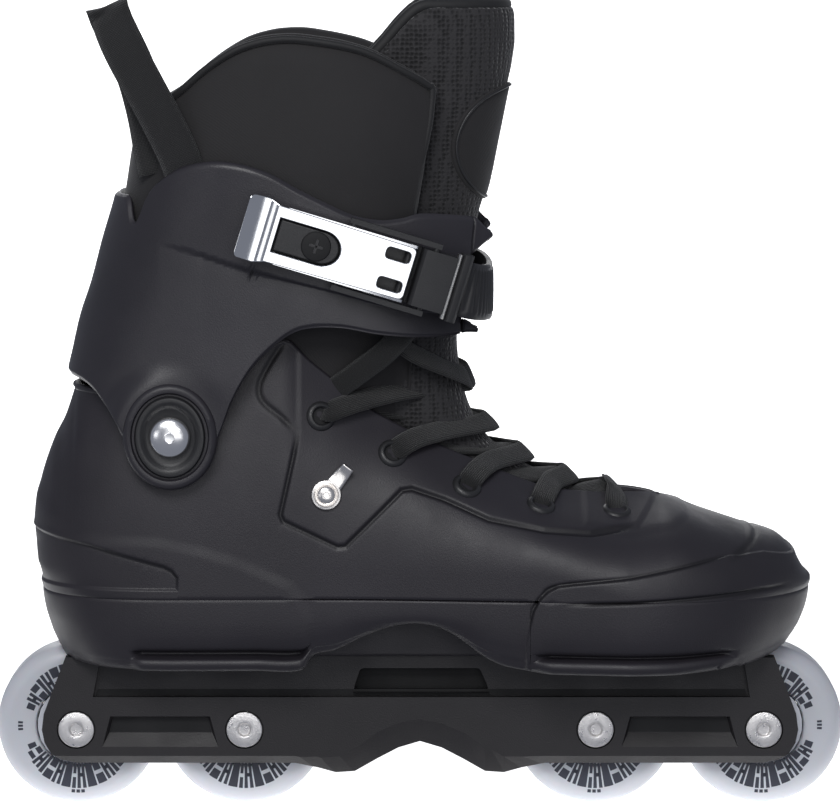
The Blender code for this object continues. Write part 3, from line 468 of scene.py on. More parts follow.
def band_mesh(path, ups, width, thickness, crown=0.0):
    """Flat woven band with rounded edges along a path; its UVs are millimetres along and across it.

    width is a function of the share of the path's points that are behind.
    """
    steps = 6
    across = [-1 + 2 * k / steps for k in range(steps + 1)]
    profile = [(s, 1 - 0.55 * abs(s)**6 + crown * (1 - s * s)) for s in across]
    profile += [(s, -1 + 0.55 * abs(s)**6 + crown * (1 - s * s)) for s in reversed(across)]
    rings, along = [], [0.0]
    for i, (point, (_, side, up)) in enumerate(zip(path, path_frames(path, ups))):
        half = width(i / (len(path) - 1)) / 2
        rings.append([point + side * s * half + up * h * thickness / 2 for s, h in profile])
        if i:
            along.append(along[-1] + (path[i] - path[i - 1]).length)
    columns = len(profile)
    faces = grid_faces(len(rings), columns, wrap_columns=True) + end_caps(len(rings), columns)
    mesh = mesh_from(joined(rings), faces, recalculate=False)
    layer = mesh.uv_layers.new(name="UVMap")
    for loop in mesh.loops:
        row, column = divmod(loop.vertex_index, columns)
        layer.data[loop.index].uv = (profile[column][0] * width(0) / 2, along[row])
    return mesh


def tube_mesh(path, radius, sides=10, closed=False):
    """Round tube along a path in millimetres."""
    rings = []
    up = Vector((0, 0, 1))
    for i, point in enumerate(path):
        before = path[i - 1] if closed or i else path[0]
        after = path[(i + 1) % len(path)] if closed or i < len(path) - 1 else path[-1]
        ahead = (after - before).normalized()
        side = ahead.cross(up)
        side = side.normalized() if side.length > 1e-4 else Vector((0, 1, 0))
        up = side.cross(ahead).normalized()
        rings.append([point + (side * math.cos(a) + up * math.sin(a)) * radius
                      for a in [math.tau * k / sides for k in range(sides)]])
    faces = grid_faces(len(rings), sides, wrap_rows=closed, wrap_columns=True)
    if not closed:
        faces += end_caps(len(rings), sides)
    return mesh_from(joined(rings), faces)


def turned_mesh(profile, origin, axis, segments=64, stretch=1.0):
    """Lathe a (radius, height) profile about an axis through origin; height runs along the axis.

    stretch widens the turned shape along Z.
    """
    axis = Vector(axis).normalized()
    right = axis.cross(Vector((0, 0, 1))).normalized()
    up = right.cross(axis).normalized()
    origin = Vector(origin)
    rings = []
    for k in range(segments):
        a = math.tau * k / segments
        spoke = right * math.cos(a) + up * math.sin(a) * stretch
        rings.append([origin + spoke * radius + axis * height for radius, height in profile])
    mesh = mesh_from(joined(rings), grid_faces(segments, len(profile), wrap_rows=True), weld=0.001)
    mesh.set_sharp_from_angle(angle=math.radians(TURNED_SHARP_ANGLE))
    return mesh


# ---------------------------------------------------------------- relief of a moulded skin

def distance_to(points, line, closed=False):
    """Distance in the side view from each (x, z) point to a polyline, and whether it is inside it."""
    line = list(line) + ([line[0]] if closed else [])
    best = np.full(len(points), 1e9)
    inside = np.zeros(len(points), bool)
    for (ax, az), (bx, bz) in zip(line, line[1:]):
        dx, dz = bx - ax, bz - az
        t = np.clip(((points[:, 0] - ax) * dx + (points[:, 1] - az) * dz) / (dx * dx + dz * dz), 0, 1)
        best = np.minimum(best, np.hypot(points[:, 0] - ax - t * dx, points[:, 1] - az - t * dz))
        if closed and dz:
            crosses = (az > points[:, 1]) != (bz > points[:, 1])
            inside ^= crosses & (points[:, 0] < ax + (points[:, 1] - az) * dx / dz)
    return best, inside


def soft_line(points, per_span=6):
    return [(p.x, p.y) for p in smooth_path([(x, z, 0) for x, z in points], per_span)]


class Relief:
    """Grooves and raised or sunk panels of a skin, drawn in the side view in millimetres."""

    def __init__(self):
        self.items = []

    def groove(self, line, depth, width, fade=0.0):
        """fade is the length at each end of the line over which the groove dies out."""
        self.items.append(("groove", line, depth, width, fade))

    def panel(self, outline, height, width):
        """width is that of the slope round the outline."""
        self.items.append(("panel", outline, height, width, None))

    def ledge(self, line, depth, width, reach, fade):
        """A step down below a line that runs along X, which dies out over reach, and over fade at its start."""
        self.items.append(("ledge", line, depth, width, (reach, fade)))

    def height(self, points):
        """Lift, distance from the nearest line's edge and depth of crease at each (x, z) point; the last weights
        the painted shade in the grooves.
        """
        total, groove_shade = np.zeros(len(points)), np.zeros(len(points))
        near = np.full(len(points), 1e9)
        for kind, line, size, width, extra in self.items:
            distance, inside = distance_to(points, line, kind == "panel")
            near = np.minimum(near, distance - width)
            if kind == "groove":
                strength = 1.0
                if extra:
                    (ax, az), (bx, bz) = line[0], line[-1]
                    ends = np.minimum(np.hypot(points[:, 0] - ax, points[:, 1] - az),
                                      np.hypot(points[:, 0] - bx, points[:, 1] - bz))
                    strength = np.clip(ends / extra, 0, 1)
                total -= size * strength * np.exp(-(distance / width)**2)
                # Weight of the painted shade in this groove, strongest along its middle
                groove_shade = np.maximum(groove_shade, strength * np.exp(-(distance / width)**2))
            elif kind == "ledge":
                reach, fade = extra
                over = np.interp(points[:, 0], [p[0] for p in line], [p[1] for p in line])
                below = np.where(points[:, 1] < over, distance, -distance)
                strength = np.clip((points[:, 0] - line[0][0]) / fade, 0, 1)
                drop = np.clip(below / width + 0.5, 0, 1) * np.exp(-np.clip(below, 0, None) / reach)
                total -= size * strength * drop
            else:
                signed = np.where(inside, distance, -distance)
                t = np.clip(signed / width * 0.5 + 0.5, 0, 1)
                total += size * t * t * (3 - 2 * t)
        return total, near, groove_shade


def refine(bm, relief, passes):
    """Split the edges that lie near the relief's lines."""
    for step in range(passes):
        verts = list(bm.verts)
        points = np.array([(v.co.x / MM, v.co.z / MM) for v in verts])
        near = relief.height(points)[1]
        close = {v for v, d in zip(verts, near) if d < GROOVE_REACH / (step + 1)}
        edges = [e for e in bm.edges if e.verts[0] in close and e.verts[1] in close]
        bmesh.ops.subdivide_edges(bm, edges=edges, cuts=1, use_grid_fill=True)


def emboss(mesh, relief, passes=2, keep=None):
    """Push the skin along its normals by the relief, and note how deep in a groove each point lies, for the
    painted shade in the grooves.
    """
    bm = bmesh.new()
    bm.from_mesh(mesh)
    # Weight of the painted shade in the grooves, read by the moulded plastic's colour
    layer = bm.verts.layers.float.new("groove_shade_depth")
    refine(bm, relief, passes)
    bm.normal_update()
    verts = list(bm.verts)
    points = np.array([(v.co.x / MM, v.co.z / MM) for v in verts])
    lifts, _, groove_shades = relief.height(points)
    moves = []
    for v, lift, groove_shade in zip(verts, lifts, groove_shades):
        weight = keep(v.co / MM) if keep else 1.0
        v[layer] = groove_shade * weight
        moves.append(v.normal * lift * weight * MM)
    for v, move in zip(verts, moves):
        v.co += move
    bm.to_mesh(mesh)
    bm.free()


# ---------------------------------------------------------------- boot shell

waist_lateral = curve_through([(-90, 43), (-30, 42.5), (20, 46.5), (75, 52)])
waist_medial = curve_through([(-90, 43), (-30, 39.5), (20, 44.5), (75, 52)])
rim_height = curve_through([(-127, 157), (-110, 157), (-90, 160), (-70, 165), (-56, 172), (-49, 176),
                            (-42, 169),
                            (-35, 163), (-18, 149), (6, 136), (22, 129), (44, 120), (62, 117), (88, 115),
                            (104, 109), (125, 102), (132, 99.6), (136.2, 96.2), (138.2, 93.2), (140, 89.8),
                            (142, 86.6),
                            (144, 84.8)])
heel_top = curve_through([(-142.4, 104), (-142, 110), (-141, 118), (-139, 126), (-135, 137), (-131, 145),
                          (-127, 157)])
rim_half_width = curve_through([(-127, 0), (-125, 13), (-120, 23), (-110, 31), (-90, 36.5), (-60, 36),
                                (-49, 34.5),
                                (-35, 31), (-18, 27), (6, 23.5), (22, 21), (44, 17.5), (62, 13.5), (78, 8),
                                (88, 0)])


def half_width(x, side, inset=0.0, heel=HEEL_X, toe=TOE_X):
    """Half width of the boot's plan at x. side is -1 lateral, +1 medial."""
    waist = waist_lateral if side < 0 else waist_medial
    width = waist(x) - inset
    if x < -90:
        reach = min(1.0, (-90 - x) / (-90 - heel - inset))
        return width * (1 - reach**2.4) ** (1 / 2.4)
    if x > 75:
        power = 2.0 if side < 0 else 2.6
        reach = min(1.0, (x - 75) / (toe - inset - 75))
        return width * (1 - reach**power) ** (1 / power)
    return width


def boot_profile(x, side, steps):
    """Skin of one side at x, from the rim down to the seam and a little under it, as (y, z)."""
    closed = ease(74, 100, x) + 1 - ease(-136, -108, x)
    top = heel_top(x) if x < -127 else rim_height(x)
    seam = SEAM_Z + 0.3
    if x < HEEL_X:
        seam = min(seam + (HEEL_X - x) * 6, top - 4)
    top = max(top, seam + 2.5)
    widest_z = max(seam + 0.8, min(mix(92, 84, ease(40, 80, x)), (top + seam) / 2 + 2))
    widest = half_width(x, side, 0, -142.4, 144)
    at_seam = min(half_width(x, side), widest)
    rim = rim_half_width(x) if -127 < x < 88 else 0.0
    crown = mix(0.25, 0.45, ease(-40, 0, x))
    bend = Vector((rim + (widest - rim) * crown, top - 0.25 * (top - widest_z)))
    bend = bend.lerp(Vector((0.75 * widest, top)), min(closed, 1))
    curve = (Vector((rim, top)), bend, Vector((widest, widest_z + 0.57 * (top - widest_z))),
             Vector((widest, widest_z)))
    points = bezier(curve, steps)
    lower = max(2, steps // 5)
    for k in range(1, lower + 1):
        t = k / lower
        points.append(Vector((mix(widest, at_seam, t * t), mix(widest_z, seam, t))))
    points += [Vector((at_seam - 0.5, seam - 0.15)), Vector((max(at_seam - 3, 0), seam - 0.2))]
    return [(x, side * point.x, point.y) for point in points]


def shell_y(x, z, side):
    """Distance of the boot's skin from the centre plane at (x, z)."""
    profile = boot_profile(x, side, 24)
    for above, below in zip(profile, profile[1:]):
        if above[2] >= z >= below[2]:
            t = (above[2] - z) / max(above[2] - below[2], 0.001)
            return abs(mix(above[1], below[1], t))
    return abs(profile[0][1])


def shell_normal(x, z, side):
    """Outward normal of the boot's skin at (x, z)."""
    h = 2.0
    along = Vector((2 * h, side * (shell_y(x + h, z, side) - shell_y(x - h, z, side)), 0))
    upward = Vector((0, side * (shell_y(x, z + h, side) - shell_y(x, z - h, side)), 2 * h))
    return along.cross(upward).normalized() * -side


def skin_point(x, z, side, lift=0.0):
    y = shell_y(x, z, side)
    return Vector((x, side * y, z)) + shell_normal(x, z, side) * lift


def ends_stations(start, stop, count):
    """Stations from start to stop, closer together towards both ends."""
    return [start + (stop - start) * (1 - math.cos(math.pi * i / count)) / 2 for i in range(count + 1)]


PANEL_LINE = [(-44, 143), (-46, 133), (-50.5, 113), (-49.5, 110.5), (-30, 101.2), (-27, 101.4), (-6.5, 121.5),
              (-3, 122), (9, 118), (25, 111), (45, 107), (62, 105.5), (79, 107)]
PANEL_FIELD = PANEL_LINE + [(100, 130), (60, 150), (-20, 200), (-44, 190)]
HEEL_INSERT = [(-150, 106), (-120, 101), (-93, 94), (-90, 92.5), (-88, 90), (-88, 85.6), (-118, 85.6),
               (-150, 85.6)]
TOE_BUMPER = [(38.5, 66), (39.5, 71), (41, 79), (44, 84), (50, 88), (76, 91), (98, 95), (112, 97.4),
              (125, 97), (150, 92), (150, 40), (38.5, 40)]
SOLE_PANEL = [(-155, 108), (-142, 105), (-125, 103.5), (-95, 103), (-79, 99.5), (-65, 95), (-47, 87),
              (-43, 82),
              (-40.5, 74), (-40, 66), (-40, 40), (-155, 40)]


def boot_relief():
    """Seams, grooves and raised panels of the boot shell."""
    relief = Relief()
    relief.groove(PANEL_LINE, 0.9, 0.75, 8)
    relief.panel(PANEL_FIELD, 0.45, 1.2)
    relief.groove(soft_line([(-48, 177), (-50, 174), (-54, 168), (-58, 160), (-57, 154), (-50, 148),
                             (-45, 143)]),
                  0.55, 1.1, 5)
    relief.panel(HEEL_INSERT, -0.8, 0.6)
    relief.groove([(-132, 103), (-120, 101), (-93, 94), (-90, 92.5), (-88, 90), (-88, 86)], 0.4, 0.6, 8)
    relief.panel(TOE_BUMPER, 0.9, 0.6)
    relief.groove(soft_line([(39.6, 72), (41, 79), (44, 84), (50, 88), (76, 91), (98, 95), (112, 97.6)]), 0.6,
                  0.7, 9)
    relief.groove(soft_line([(52, 81.3), (79, 82.3), (105, 83.8), (134, 85.5)]), 0.8, 0.7, 10)
    relief.panel(SOLE_PANEL, 0.5, 2.6)
    relief.groove(soft_line([(126, 105), (123.5, 102), (119, 99), (113, 96.5)]), 0.5, 1.2, 4)
    relief.panel([(96, 125), (97.5, 110), (92, 107.5), (76, 105), (60, 108), (60, 130)], 0.4, 1.6)
    relief.panel(soft_line([(118, 120), (121, 104), (119, 98.5), (125, 96), (150, 94), (150, 120)], 5), 0.5,
                 1.5)
    relief.panel([(-155, 119), (-141, 118.5), (-136, 116), (-134, 111), (-136, 106), (-141, 102),
                  (-155, 101)],
                 0.6, 3.5)
    return relief


BOOT_RELIEF = boot_relief()


def make_shell():
    """Skin of the boot above the seam, open along its throat and closed at the heel and the toe."""
    steps = 46
    stations = ends_stations(-142.38, 143.96, 300)
    rings = []
    for x in stations:
        medial = boot_profile(x, 1, steps)
        lateral = boot_profile(x, -1, steps)
        rings.append(list(reversed(medial)) + lateral)
    columns = len(rings[0])
    faces = grid_faces(len(rings), columns)
    half = columns // 2
    is_open = [-127 < x < 88 for x in stations]
    faces = [face for face in faces
             if not (face[0] % columns == half - 1 and is_open[face[0] // columns]
                     and is_open[min(face[0] // columns + 1, len(rings) - 1)])]
    for first in (0, (len(rings) - 1) * columns):
        faces += [(first + half - 1 - k, first + half - 2 - k, first + half + k + 1, first + half + k)
                  for k in range(half - 1)]
    mesh = mesh_from(joined(rings), faces, weld=0.05)
    emboss(mesh, BOOT_RELIEF)
    piece("boot_shell", mesh, BOOT_BLACK, "root", "black_plastic", "shell")
    make_rim()


def make_rim():
    """Rounded edge round the boot's opening, and the wall's inner face just below it."""
    right = [Vector((x, rim_half_width(x) - 1.3,
                     rim_height(x) - 0.9)) for x in ends_stations(-126.9, 87.9, 120)]
    left = [Vector((p.x, -p.y, p.z)) for p in reversed(right)]
    piece("boot_rim", tube_mesh(right + left, 1.5, closed=True), BOOT_BLACK, "root", "black_plastic")
    for name, side in SIDES:
        rings = [[(x, side * max(rim_half_width(x) - inset, 0), rim_height(x) - drop)
                  for inset, drop in ((0.9, 0.8), (2.8, 4), (3.4, 24))] for x in ends_stations(-126, 87, 90)]
        piece(f"boot_inner_wall_{name}", loft_mesh(rings, closed_ring=False), BOOT_BLACK, "root",
              "black_plastic")


# ---------------------------------------------------------------- sole plates

sole_edge = curve_through([(-140, 58.5), (-131, 56.5), (-120, 55.5), (-103, 55.2), (-60, 55.2), (-43, 55.4),
                           (-39, 60.5), (-31, 62.5), (-20, 68), (-9, 72), (0, 73), (8, 71), (15, 67),
                           (23, 61),
                           (30, 57.6), (38, 56), (43, 55.2), (60, 54.9), (91, 54.9), (101, 55.4), (116, 56.6),
                           (128, 59), (135, 61), (144, 63)])
# z, tuck of the round end, inset of a plain side, inset where the grind lip runs
SOLE_LEVELS = ((SEAM_Z - 0.4, 3.0, 3.0, 3.0), (SEAM_Z - 0.05, 0.6, 0.5, 0.5), (SEAM_Z - 0.5, 0.05, 0, 0),
               (80, 0.1, 0, 0), (77.5, 0.4, 0, 0), (75, 0.8, 0.05, 0.05), (72.5, 1.3, 0.15, 0.15),
               (70, 2.0, 0.35, 0.4), (68, 2.6, 0.6, 0.7), (66, 3.2, 0.9, 1.2), (64.5, 3.7, 1.2, 1.7),
               (63.6, 4.1, 1.4, 2.2), (63.1, 4.3, 1.5, 3.2), (62.8, 4.5, 1.55, 5.6), (61.6, 5.0, 1.8, 6.6),
               (60.5, 5.5, 2.0, 6.2), (59.9, 5.9, 2.2, 4.6), (59.5, 6.1, 2.4, 1.6), (59.1, 6.4, 2.6, 0.8),
               (57.8, 6.9, 2.9, 0.6), (56.4, 7.7, 3.4, 0.8), (55.6, 8.6, 4.2, 1.5), (55.2, 10.5, 6.5, 4.0),
               (55.2, 16, 14, 13), (55.6, 24, 21.5, 21.0))


def sole_point(fraction, level, side, round_end, flat_end):
    z, tuck, plain, lipped = level
    sign = -1 if round_end < 0 else 1
    x = mix(round_end - sign * tuck, flat_end, 1 - math.cos(math.pi / 2 * fraction))
    lip = window(x, -101, -44, 5) + window(x, 48, 108, 8)
    inset = mix(plain, lipped, lip)
    ends = {"heel": round_end + tuck - inset} if sign < 0 else {"toe": round_end - tuck + inset}
    y = max(half_width(x, side, inset, **ends), 0.0)
    weight = (SEAM_Z - z) / (SEAM_Z - 55.2)
    return (x, side * y, z + (sole_edge(x) - 55.2) * weight**1.5)


def sole_skin(name, node, round_end, flat_end):
    """Outer skin of the sole, from its edge down."""
    count = 190
    rings = []
    for level in SOLE_LEVELS:
        lateral = [sole_point(i / count, level, -1, round_end, flat_end) for i in range(count, 0, -1)]
        medial = [sole_point(i / count, level, 1, round_end, flat_end) for i in range(count + 1)]
        rings.append(lateral + medial)
    fine = []
    for upper, lower in zip(rings, rings[1:]):
        fine.append(upper)
        if upper[0][2] - lower[0][2] > 1.4:
            fine.append([tuple((Vector(a) + Vector(b)) / 2) for a, b in zip(upper, lower)])
    fine.append(rings[-1])
    mesh = loft_mesh(fine, closed_ring=False)
    emboss(mesh, BOOT_RELIEF, keep=lambda p: 1.0 if p.z > 57 and abs(p.y) > 8 or p.z > 60 else 0.0)
    piece(name, mesh, BOOT_BLACK, "root", "black_plastic", node)


def make_sole():
    """Moulded sole under the boot."""
    sole_skin("rear_sole_skin", "sole_plate_rear", HEEL_X, SOLE_SPLIT_X - 0.06)
    sole_skin("front_sole_skin", "sole_plate_front", TOE_X, SOLE_SPLIT_X + 0.06)
    rings = []
    for x, y, low, high in ((-133, 6, 61, 70), (-128, 14, 60.8, 72), (-118, 22, 60.6, 74),
                            (-60, 24, 60.6, 74),
                            (-46, 23, 60, 75), (-42, 20.6, 57.4, 76), (0, 20.6, 57.4, 77),
                            (40, 20.6, 57.4, 76),
                            (48, 23, 60, 75), (60, 24, 60.6, 74), (118, 24, 60.6, 74), (130, 16, 61.5, 72),
                            (135, 6, 62, 70)):
        rings.append([(x, -y, high), (x, -y, low + 1), (x, -y + 1, low), (x, y - 1, low), (x, y, low + 1),
                      (x, y, high)])
    piece("sole_keel", loft_mesh(rings), BOOT_BLACK, "root", "black_plastic", smooth=False)


# ---------------------------------------------------------------- cuff

CUFF_CENTRE = -48
cuff_rear_x = curve_through([(118, -131), (160, -130), (170, -128), (183, -125), (195, -121), (210, -117),
                             (227, -112), (246, -108)])
cuff_front_x = curve_through([(118, 22), (180, 26), (220, 32), (246, 32)])
cuff_half_width = curve_through([(118, 48.3), (142, 48.9), (181, 48.3), (220, 49.5), (246, 50)])
cuff_squareness = curve_through([(118, 3.6), (142, 3.4), (170, 2.9), (200, 2.5), (246, 2.4)])
cuff_top = curve_through([(-136, 228), (-108, 228), (-106.2, 227), (-104.6, 219.5), (-102.6, 219),
                          (-101, 222),
                          (-98, 229.5), (-94, 234), (-87, 238.5), (-76, 241), (-65, 240.3), (-54, 237),
                          (-44, 231.5), (-34, 226.5), (-24, 222), (-14, 220), (-6, 220.6), (0, 222),
                          (10, 221.5),
                          (22, 220), (36, 219)])
cuff_bottom = curve_through([(-136, 161.5), (-126, 161.5), (-119, 158), (-113, 150.5), (-106, 140),
                             (-100, 128.5), (-92, 124.3), (-84, 124.8), (-78.5, 129), (-73.5, 139),
                             (-68.5, 153),
                             (-61, 166), (-50, 176.5), (-42, 180.5), (-29, 181), (-15, 178.5), (0, 177),
                             (14, 177), (22, 178.5), (36, 180)])


def oval_point(angle, z, front, rear, width, power, centre):
    """Point of a superellipse ring; angle 0 is at the back, 180 at the front, negative is lateral."""
    along, across = -math.cos(math.radians(angle)), math.sin(math.radians(angle))
    reach = front - centre if along > 0 else centre - rear
    x = centre + math.copysign(abs(along) ** (2 / power), along) * reach
    return Vector((x, math.copysign(abs(across) ** (2 / power), across) * width, z))


def cuff_reach(x, z):
    """Half length of the cuff's ring at height z, towards the end on which x lies."""
    return (cuff_front_x(z) if x > CUFF_CENTRE else cuff_rear_x(z)) - CUFF_CENTRE


def cuff_width(z, side):
    return cuff_half_width(z) + (2 if side > 0 else 0)


def cuff_point(angle, z):
    """Outer face of the cuff, flattened round the pivot so that the insert sits square."""
    point = oval_point(angle, z, cuff_front_x(z), cuff_rear_x(z), cuff_width(z, angle), cuff_squareness(z),
                       CUFF_CENTRE)
    if abs(angle) > 1:
        flat = 1 - ease(18, 27, math.hypot(point.x - PIVOT[0], z - PIVOT[1]))
        side = 1 if angle > 0 else -1
        point.y = mix(point.y, side * cuff_skin(*PIVOT, side), flat)
    return point


def cuff_skin(x, z, side):
    """Distance of the cuff's outer face from the centre plane at (x, z)."""
    power = cuff_squareness(z)
    return cuff_width(z, side) * (1 - abs((x - CUFF_CENTRE) / cuff_reach(x, z)) ** power) ** (1 / power)


def even_angles(limit, spacing):
    """Angles from -limit to limit whose points on the cuff are about as far apart as spacing."""
    middle_z, step = 200, 0.05
    angles, travelled = [0.0], 0.0
    before = cuff_point(0, middle_z)
    angle = 0.0
    while angle < limit:
        angle += step
        here = cuff_point(angle, middle_z)
        travelled += (here - before).length
        before = here
        if travelled >= spacing:
            angles.append(angle)
            travelled = 0.0
    return [-a for a in reversed(angles[1:])] + angles


def edge_height(angle, limit, start, point):
    """Height at which the column at this angle meets an outline given as a function of x."""
    z = start
    for _ in range(12):
        z = mix(z, limit(point(angle, z).x), 0.6)
    return z


def skin_normal(point, angle, z):
    around = point(angle + 0.3, z) - point(angle - 0.3, z)
    upward = point(angle, z + 1) - point(angle, z - 1)
    return upward.cross(around).normalized()


def cuff_relief():
    """The strap's seat stands above a sunk waist."""
    relief = Relief()
    relief.ledge(soft_line([(-94, 211), (-82, 208.6), (-61, 202), (-32, 194.6), (-12, 189.2), (10, 186),
                            (32, 184)]), 1.7, 0.5, 14, 16)
    return relief


def cuff_loft(name, angles, bottom, top, rows, *nodes):
    """Closed piece of the cuff's wall between two outlines over a range of angles."""
    rings = []
    for angle in angles:
        low = bottom(angle)
        high = top(angle)
        outer, inner = [], []
        for k in range(rows + 1):
            z = mix(low, high, (1 - math.cos(math.pi * k / rows)) / 2 * 0.5 + k / rows * 0.5)
            rounding = 1.3 * (1 - ease(0, 2.2, min(z - low, high - z))) ** 2
            normal = skin_normal(cuff_point, angle, z)
            here = cuff_point(angle, z) + normal * cuff_flare(angle)
            outer.append(here - normal * rounding)
            inner.append(here - normal * (CUFF_WALL - rounding))
        rings.append(outer + list(reversed(inner)))
    mesh = loft_mesh(rings)
    emboss(mesh, cuff_relief(), passes=1, keep=on_outside)
    piece(name, mesh, CUFF_BLACK, "cuff", "black_plastic", *nodes)


# Where the notch between the two tips of an arm starts, and where the tips end
NOTCH_ANGLE, TIP_ANGLE = 145.5, 153.5
CUFF_WALL = 3


def cuff_flare(angle):
    """The tips of the cuff's arms turn outwards."""
    return 2.6 * ease(NOTCH_ANGLE - 1, TIP_ANGLE, abs(angle)) ** 1.5


def make_cuff():
    """Main wall, and the two tips of each arm with the strap's notch between them."""
    def bottom(angle):
        return edge_height(angle, cuff_bottom, 170, cuff_point)

    def top(angle):
        return edge_height(angle, cuff_top, 225, cuff_point)

    cuff_loft("cuff_skin", even_angles(NOTCH_ANGLE, 1.15), bottom, top, 72, "cuff")
    for side_name, side in SIDES:
        angles = [side * mix(NOTCH_ANGLE, TIP_ANGLE, k / 8) for k in range(9)]

        def taper(angle):
            return ease(NOTCH_ANGLE, TIP_ANGLE, abs(angle))

        cuff_loft(f"cuff_upper_tip_{side_name}", angles, lambda a: 206 + 5.5 * taper(a),
                  lambda a: top(a) - 4.5 * taper(a), 16)
        cuff_loft(f"cuff_lower_tip_{side_name}", angles, lambda a: bottom(a) - 0.8 * taper(a),
                  lambda a: 184 - 3.0 * taper(a), 10)


def on_outside(point):
    """1 on the cuff's outer face, 0 on its inner face."""
    power = cuff_squareness(point.z)
    level = (abs((point.x - CUFF_CENTRE) / cuff_reach(point.x, point.z)) ** power
             + abs(point.y / cuff_width(point.z, point.y)) ** power) ** (1 / power)
    return ease(0.955, 0.98, level)


def make_pivots():
    """Raised oval seat, insert and domed bolt on each side."""
    x, z = PIVOT
    seat = [(17.2, -1.5), (16.9, 0.2), (16.2, 1.3), (15.2, 1.7), (14.2, 1.4), (13.7, 0.4), (13.6, -2.5)]
    insert = [(12.8, -3), (12.8, 1.0), (12.2, 2.0), (11.2, 2.2), (10.2, 1.9), (9.4, 0.9), (8.4, 0.4),
              (4.6, 0.4),
              (4.6, -2.6), (12.8, -3)]
    dome = [(0, -6), (4.2, -6), (4.2, 0.9), (7.0, 1.0), (7.3, 1.5), (7.15, 2.2)]
    dome += [(7.1 * math.cos(a), 2.3 + 2.3 * math.sin(a)) for a in [math.pi / 16 * k for k in range(1, 7)]]
    dome += [(2.0, 4.5), (1.75, 4.2), (1.7, 2.6), (0, 2.5)]
    for name, side in SIDES:
        place, axis = (x, side * cuff_skin(x, z, side), z), (0, side, 0)
        piece(f"pivot_seat_{name}", turned_mesh(seat, place, axis, 96, 1.13), CUFF_BLACK, "cuff",
              "black_plastic")
        piece(f"pivot_insert_{name}", turned_mesh(insert, place, axis, 96, 1.16), TRIM_BLACK, "cuff",
              "black_plastic", f"cuff_insert_{name}")
        piece(f"pivot_bolt_{name}", turned_mesh(dome, place, axis, 72), POLISHED, "root", "chrome",
              f"cuff_bolt_{name}")


# ---------------------------------------------------------------- liner

collar_rear = curve_through([(200, -114), (228, -107), (250, -104), (287, -101)])
collar_front = curve_through([(200, 8), (228, 12), (258, 20), (287, 20)])
collar_width = curve_through([(200, 43.5), (228, 44), (250, 43), (287, 39)])
collar_top = curve_through([(-110, 251), (-104, 252), (-99, 258), (-88, 265), (-76, 275), (-64, 282),
                            (-50, 285),
                            (-36, 284), (-20, 280.5), (-5, 273), (4, 267.5), (9, 262), (14, 256)])


def collar_point(angle, z):
    return oval_point(angle, z, collar_front(z), collar_rear(z), collar_width(z), 2.4, -50)


COLLAR_LIMIT = 138
LINER_PUFF, LINER_WALL = 1.2, 7


def liner_column(angle, outer_rows, inner_rows):
    """One column of the liner: up its outer face from inside the boot, over the rim and down its inner face."""
    high = edge_height(angle, collar_top, 265, collar_point)
    share = abs(angle) / COLLAR_LIMIT
    side = 1 if angle > 0 else -1
    low_x = mix(-122.5, -3, (1 - math.cos(math.pi * share)) / 2 * 0.35 + share * 0.65)
    low_y = side * max(rim_half_width(max(low_x, -126)) - 6.5, 0) * min(1, share * 8)
    rim = Vector((low_x, low_y, rim_height(low_x) - 3))
    deep = Vector((mix(low_x, -40, 0.04), low_y * 1.02, rim.z - 14))
    joint = collar_point(angle, 206)
    joint_up = (collar_point(angle, 210) - joint).normalized()
    reach = (joint - rim).length * 0.5
    outer = [deep] + bezier((rim, rim + Vector((0, 0, reach * 1.3)), joint - joint_up * reach * 0.7, joint),
                            outer_rows)
    for k in range(1, inner_rows + 1):
        t = k / inner_rows
        z = mix(206, high, t)
        normal = skin_normal(collar_point, angle, z)
        outer.append(collar_point(angle, z) + normal * (LINER_PUFF * math.sin(math.pi * t) ** 0.7
                                                        - 2.2 * ease(0.93, 1, t) ** 2))
    top = collar_point(angle, high)
    normal = skin_normal(collar_point, angle, high)
    crest = [top - normal * LINER_WALL * (0.5 - 0.5 * math.cos(a)) + Vector((0, 0, 1.8 * math.sin(a)))
             for a in [math.pi * k / 6 for k in range(1, 6)]]
    inner = []
    for k in range(inner_rows + 1):
        z = mix(high, 200, k / inner_rows)
        normal = skin_normal(collar_point, angle, z)
        inner.append(collar_point(angle,
                                  z) - normal * (LINER_WALL + 1.5 * math.sin(math.pi * k / inner_rows)))
    floor = Vector((mix(low_x, -40, 0.1), low_y * 0.8, 96))
    return outer + crest + inner + [inner[-1].lerp(floor, k / 8) for k in range(1, 9)]


def make_liner():
    """Padded liner inside the boot and the cuff."""
    columns = [liner_column(COLLAR_LIMIT * (k / 90 - 1), 12, 16) for k in range(181)]
    liner = piece("liner", loft_mesh(columns), LINER_BLACK, None, "liner_fabric", "liner_foot",
                  "liner_collar")
    smooth_corners(liner)
    wrinkle(liner, 0.35, 30)
    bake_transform(liner)
    make_piping()


def make_piping():
    """Bound edge round the collar's top and down its front edges."""
    limit = COLLAR_LIMIT - 0.5
    rim = []
    for k in range(181):
        angle = limit * (k / 90 - 1)
        high = edge_height(angle, collar_top, 265, collar_point)
        rim.append(collar_point(angle, high - 0.6) - skin_normal(collar_point, angle, high - 2) * 0.4)
    fronts = []
    for angle, edge in ((-limit, rim[0]), (limit, rim[-1])):
        drop = [collar_point(angle, z) for z in (256, 248, 240, 232, 224, 214)]
        fronts.append([Vector((p.x - 0.4, p.y, p.z)) for p in drop if p.z < edge.z - 3])
    route = list(reversed(fronts[0])) + rim + fronts[1]
    piece("collar_binding", tube_mesh(smooth_path(route, 2), 1.35), PIPING_BLACK, "cuff", "liner_fabric")


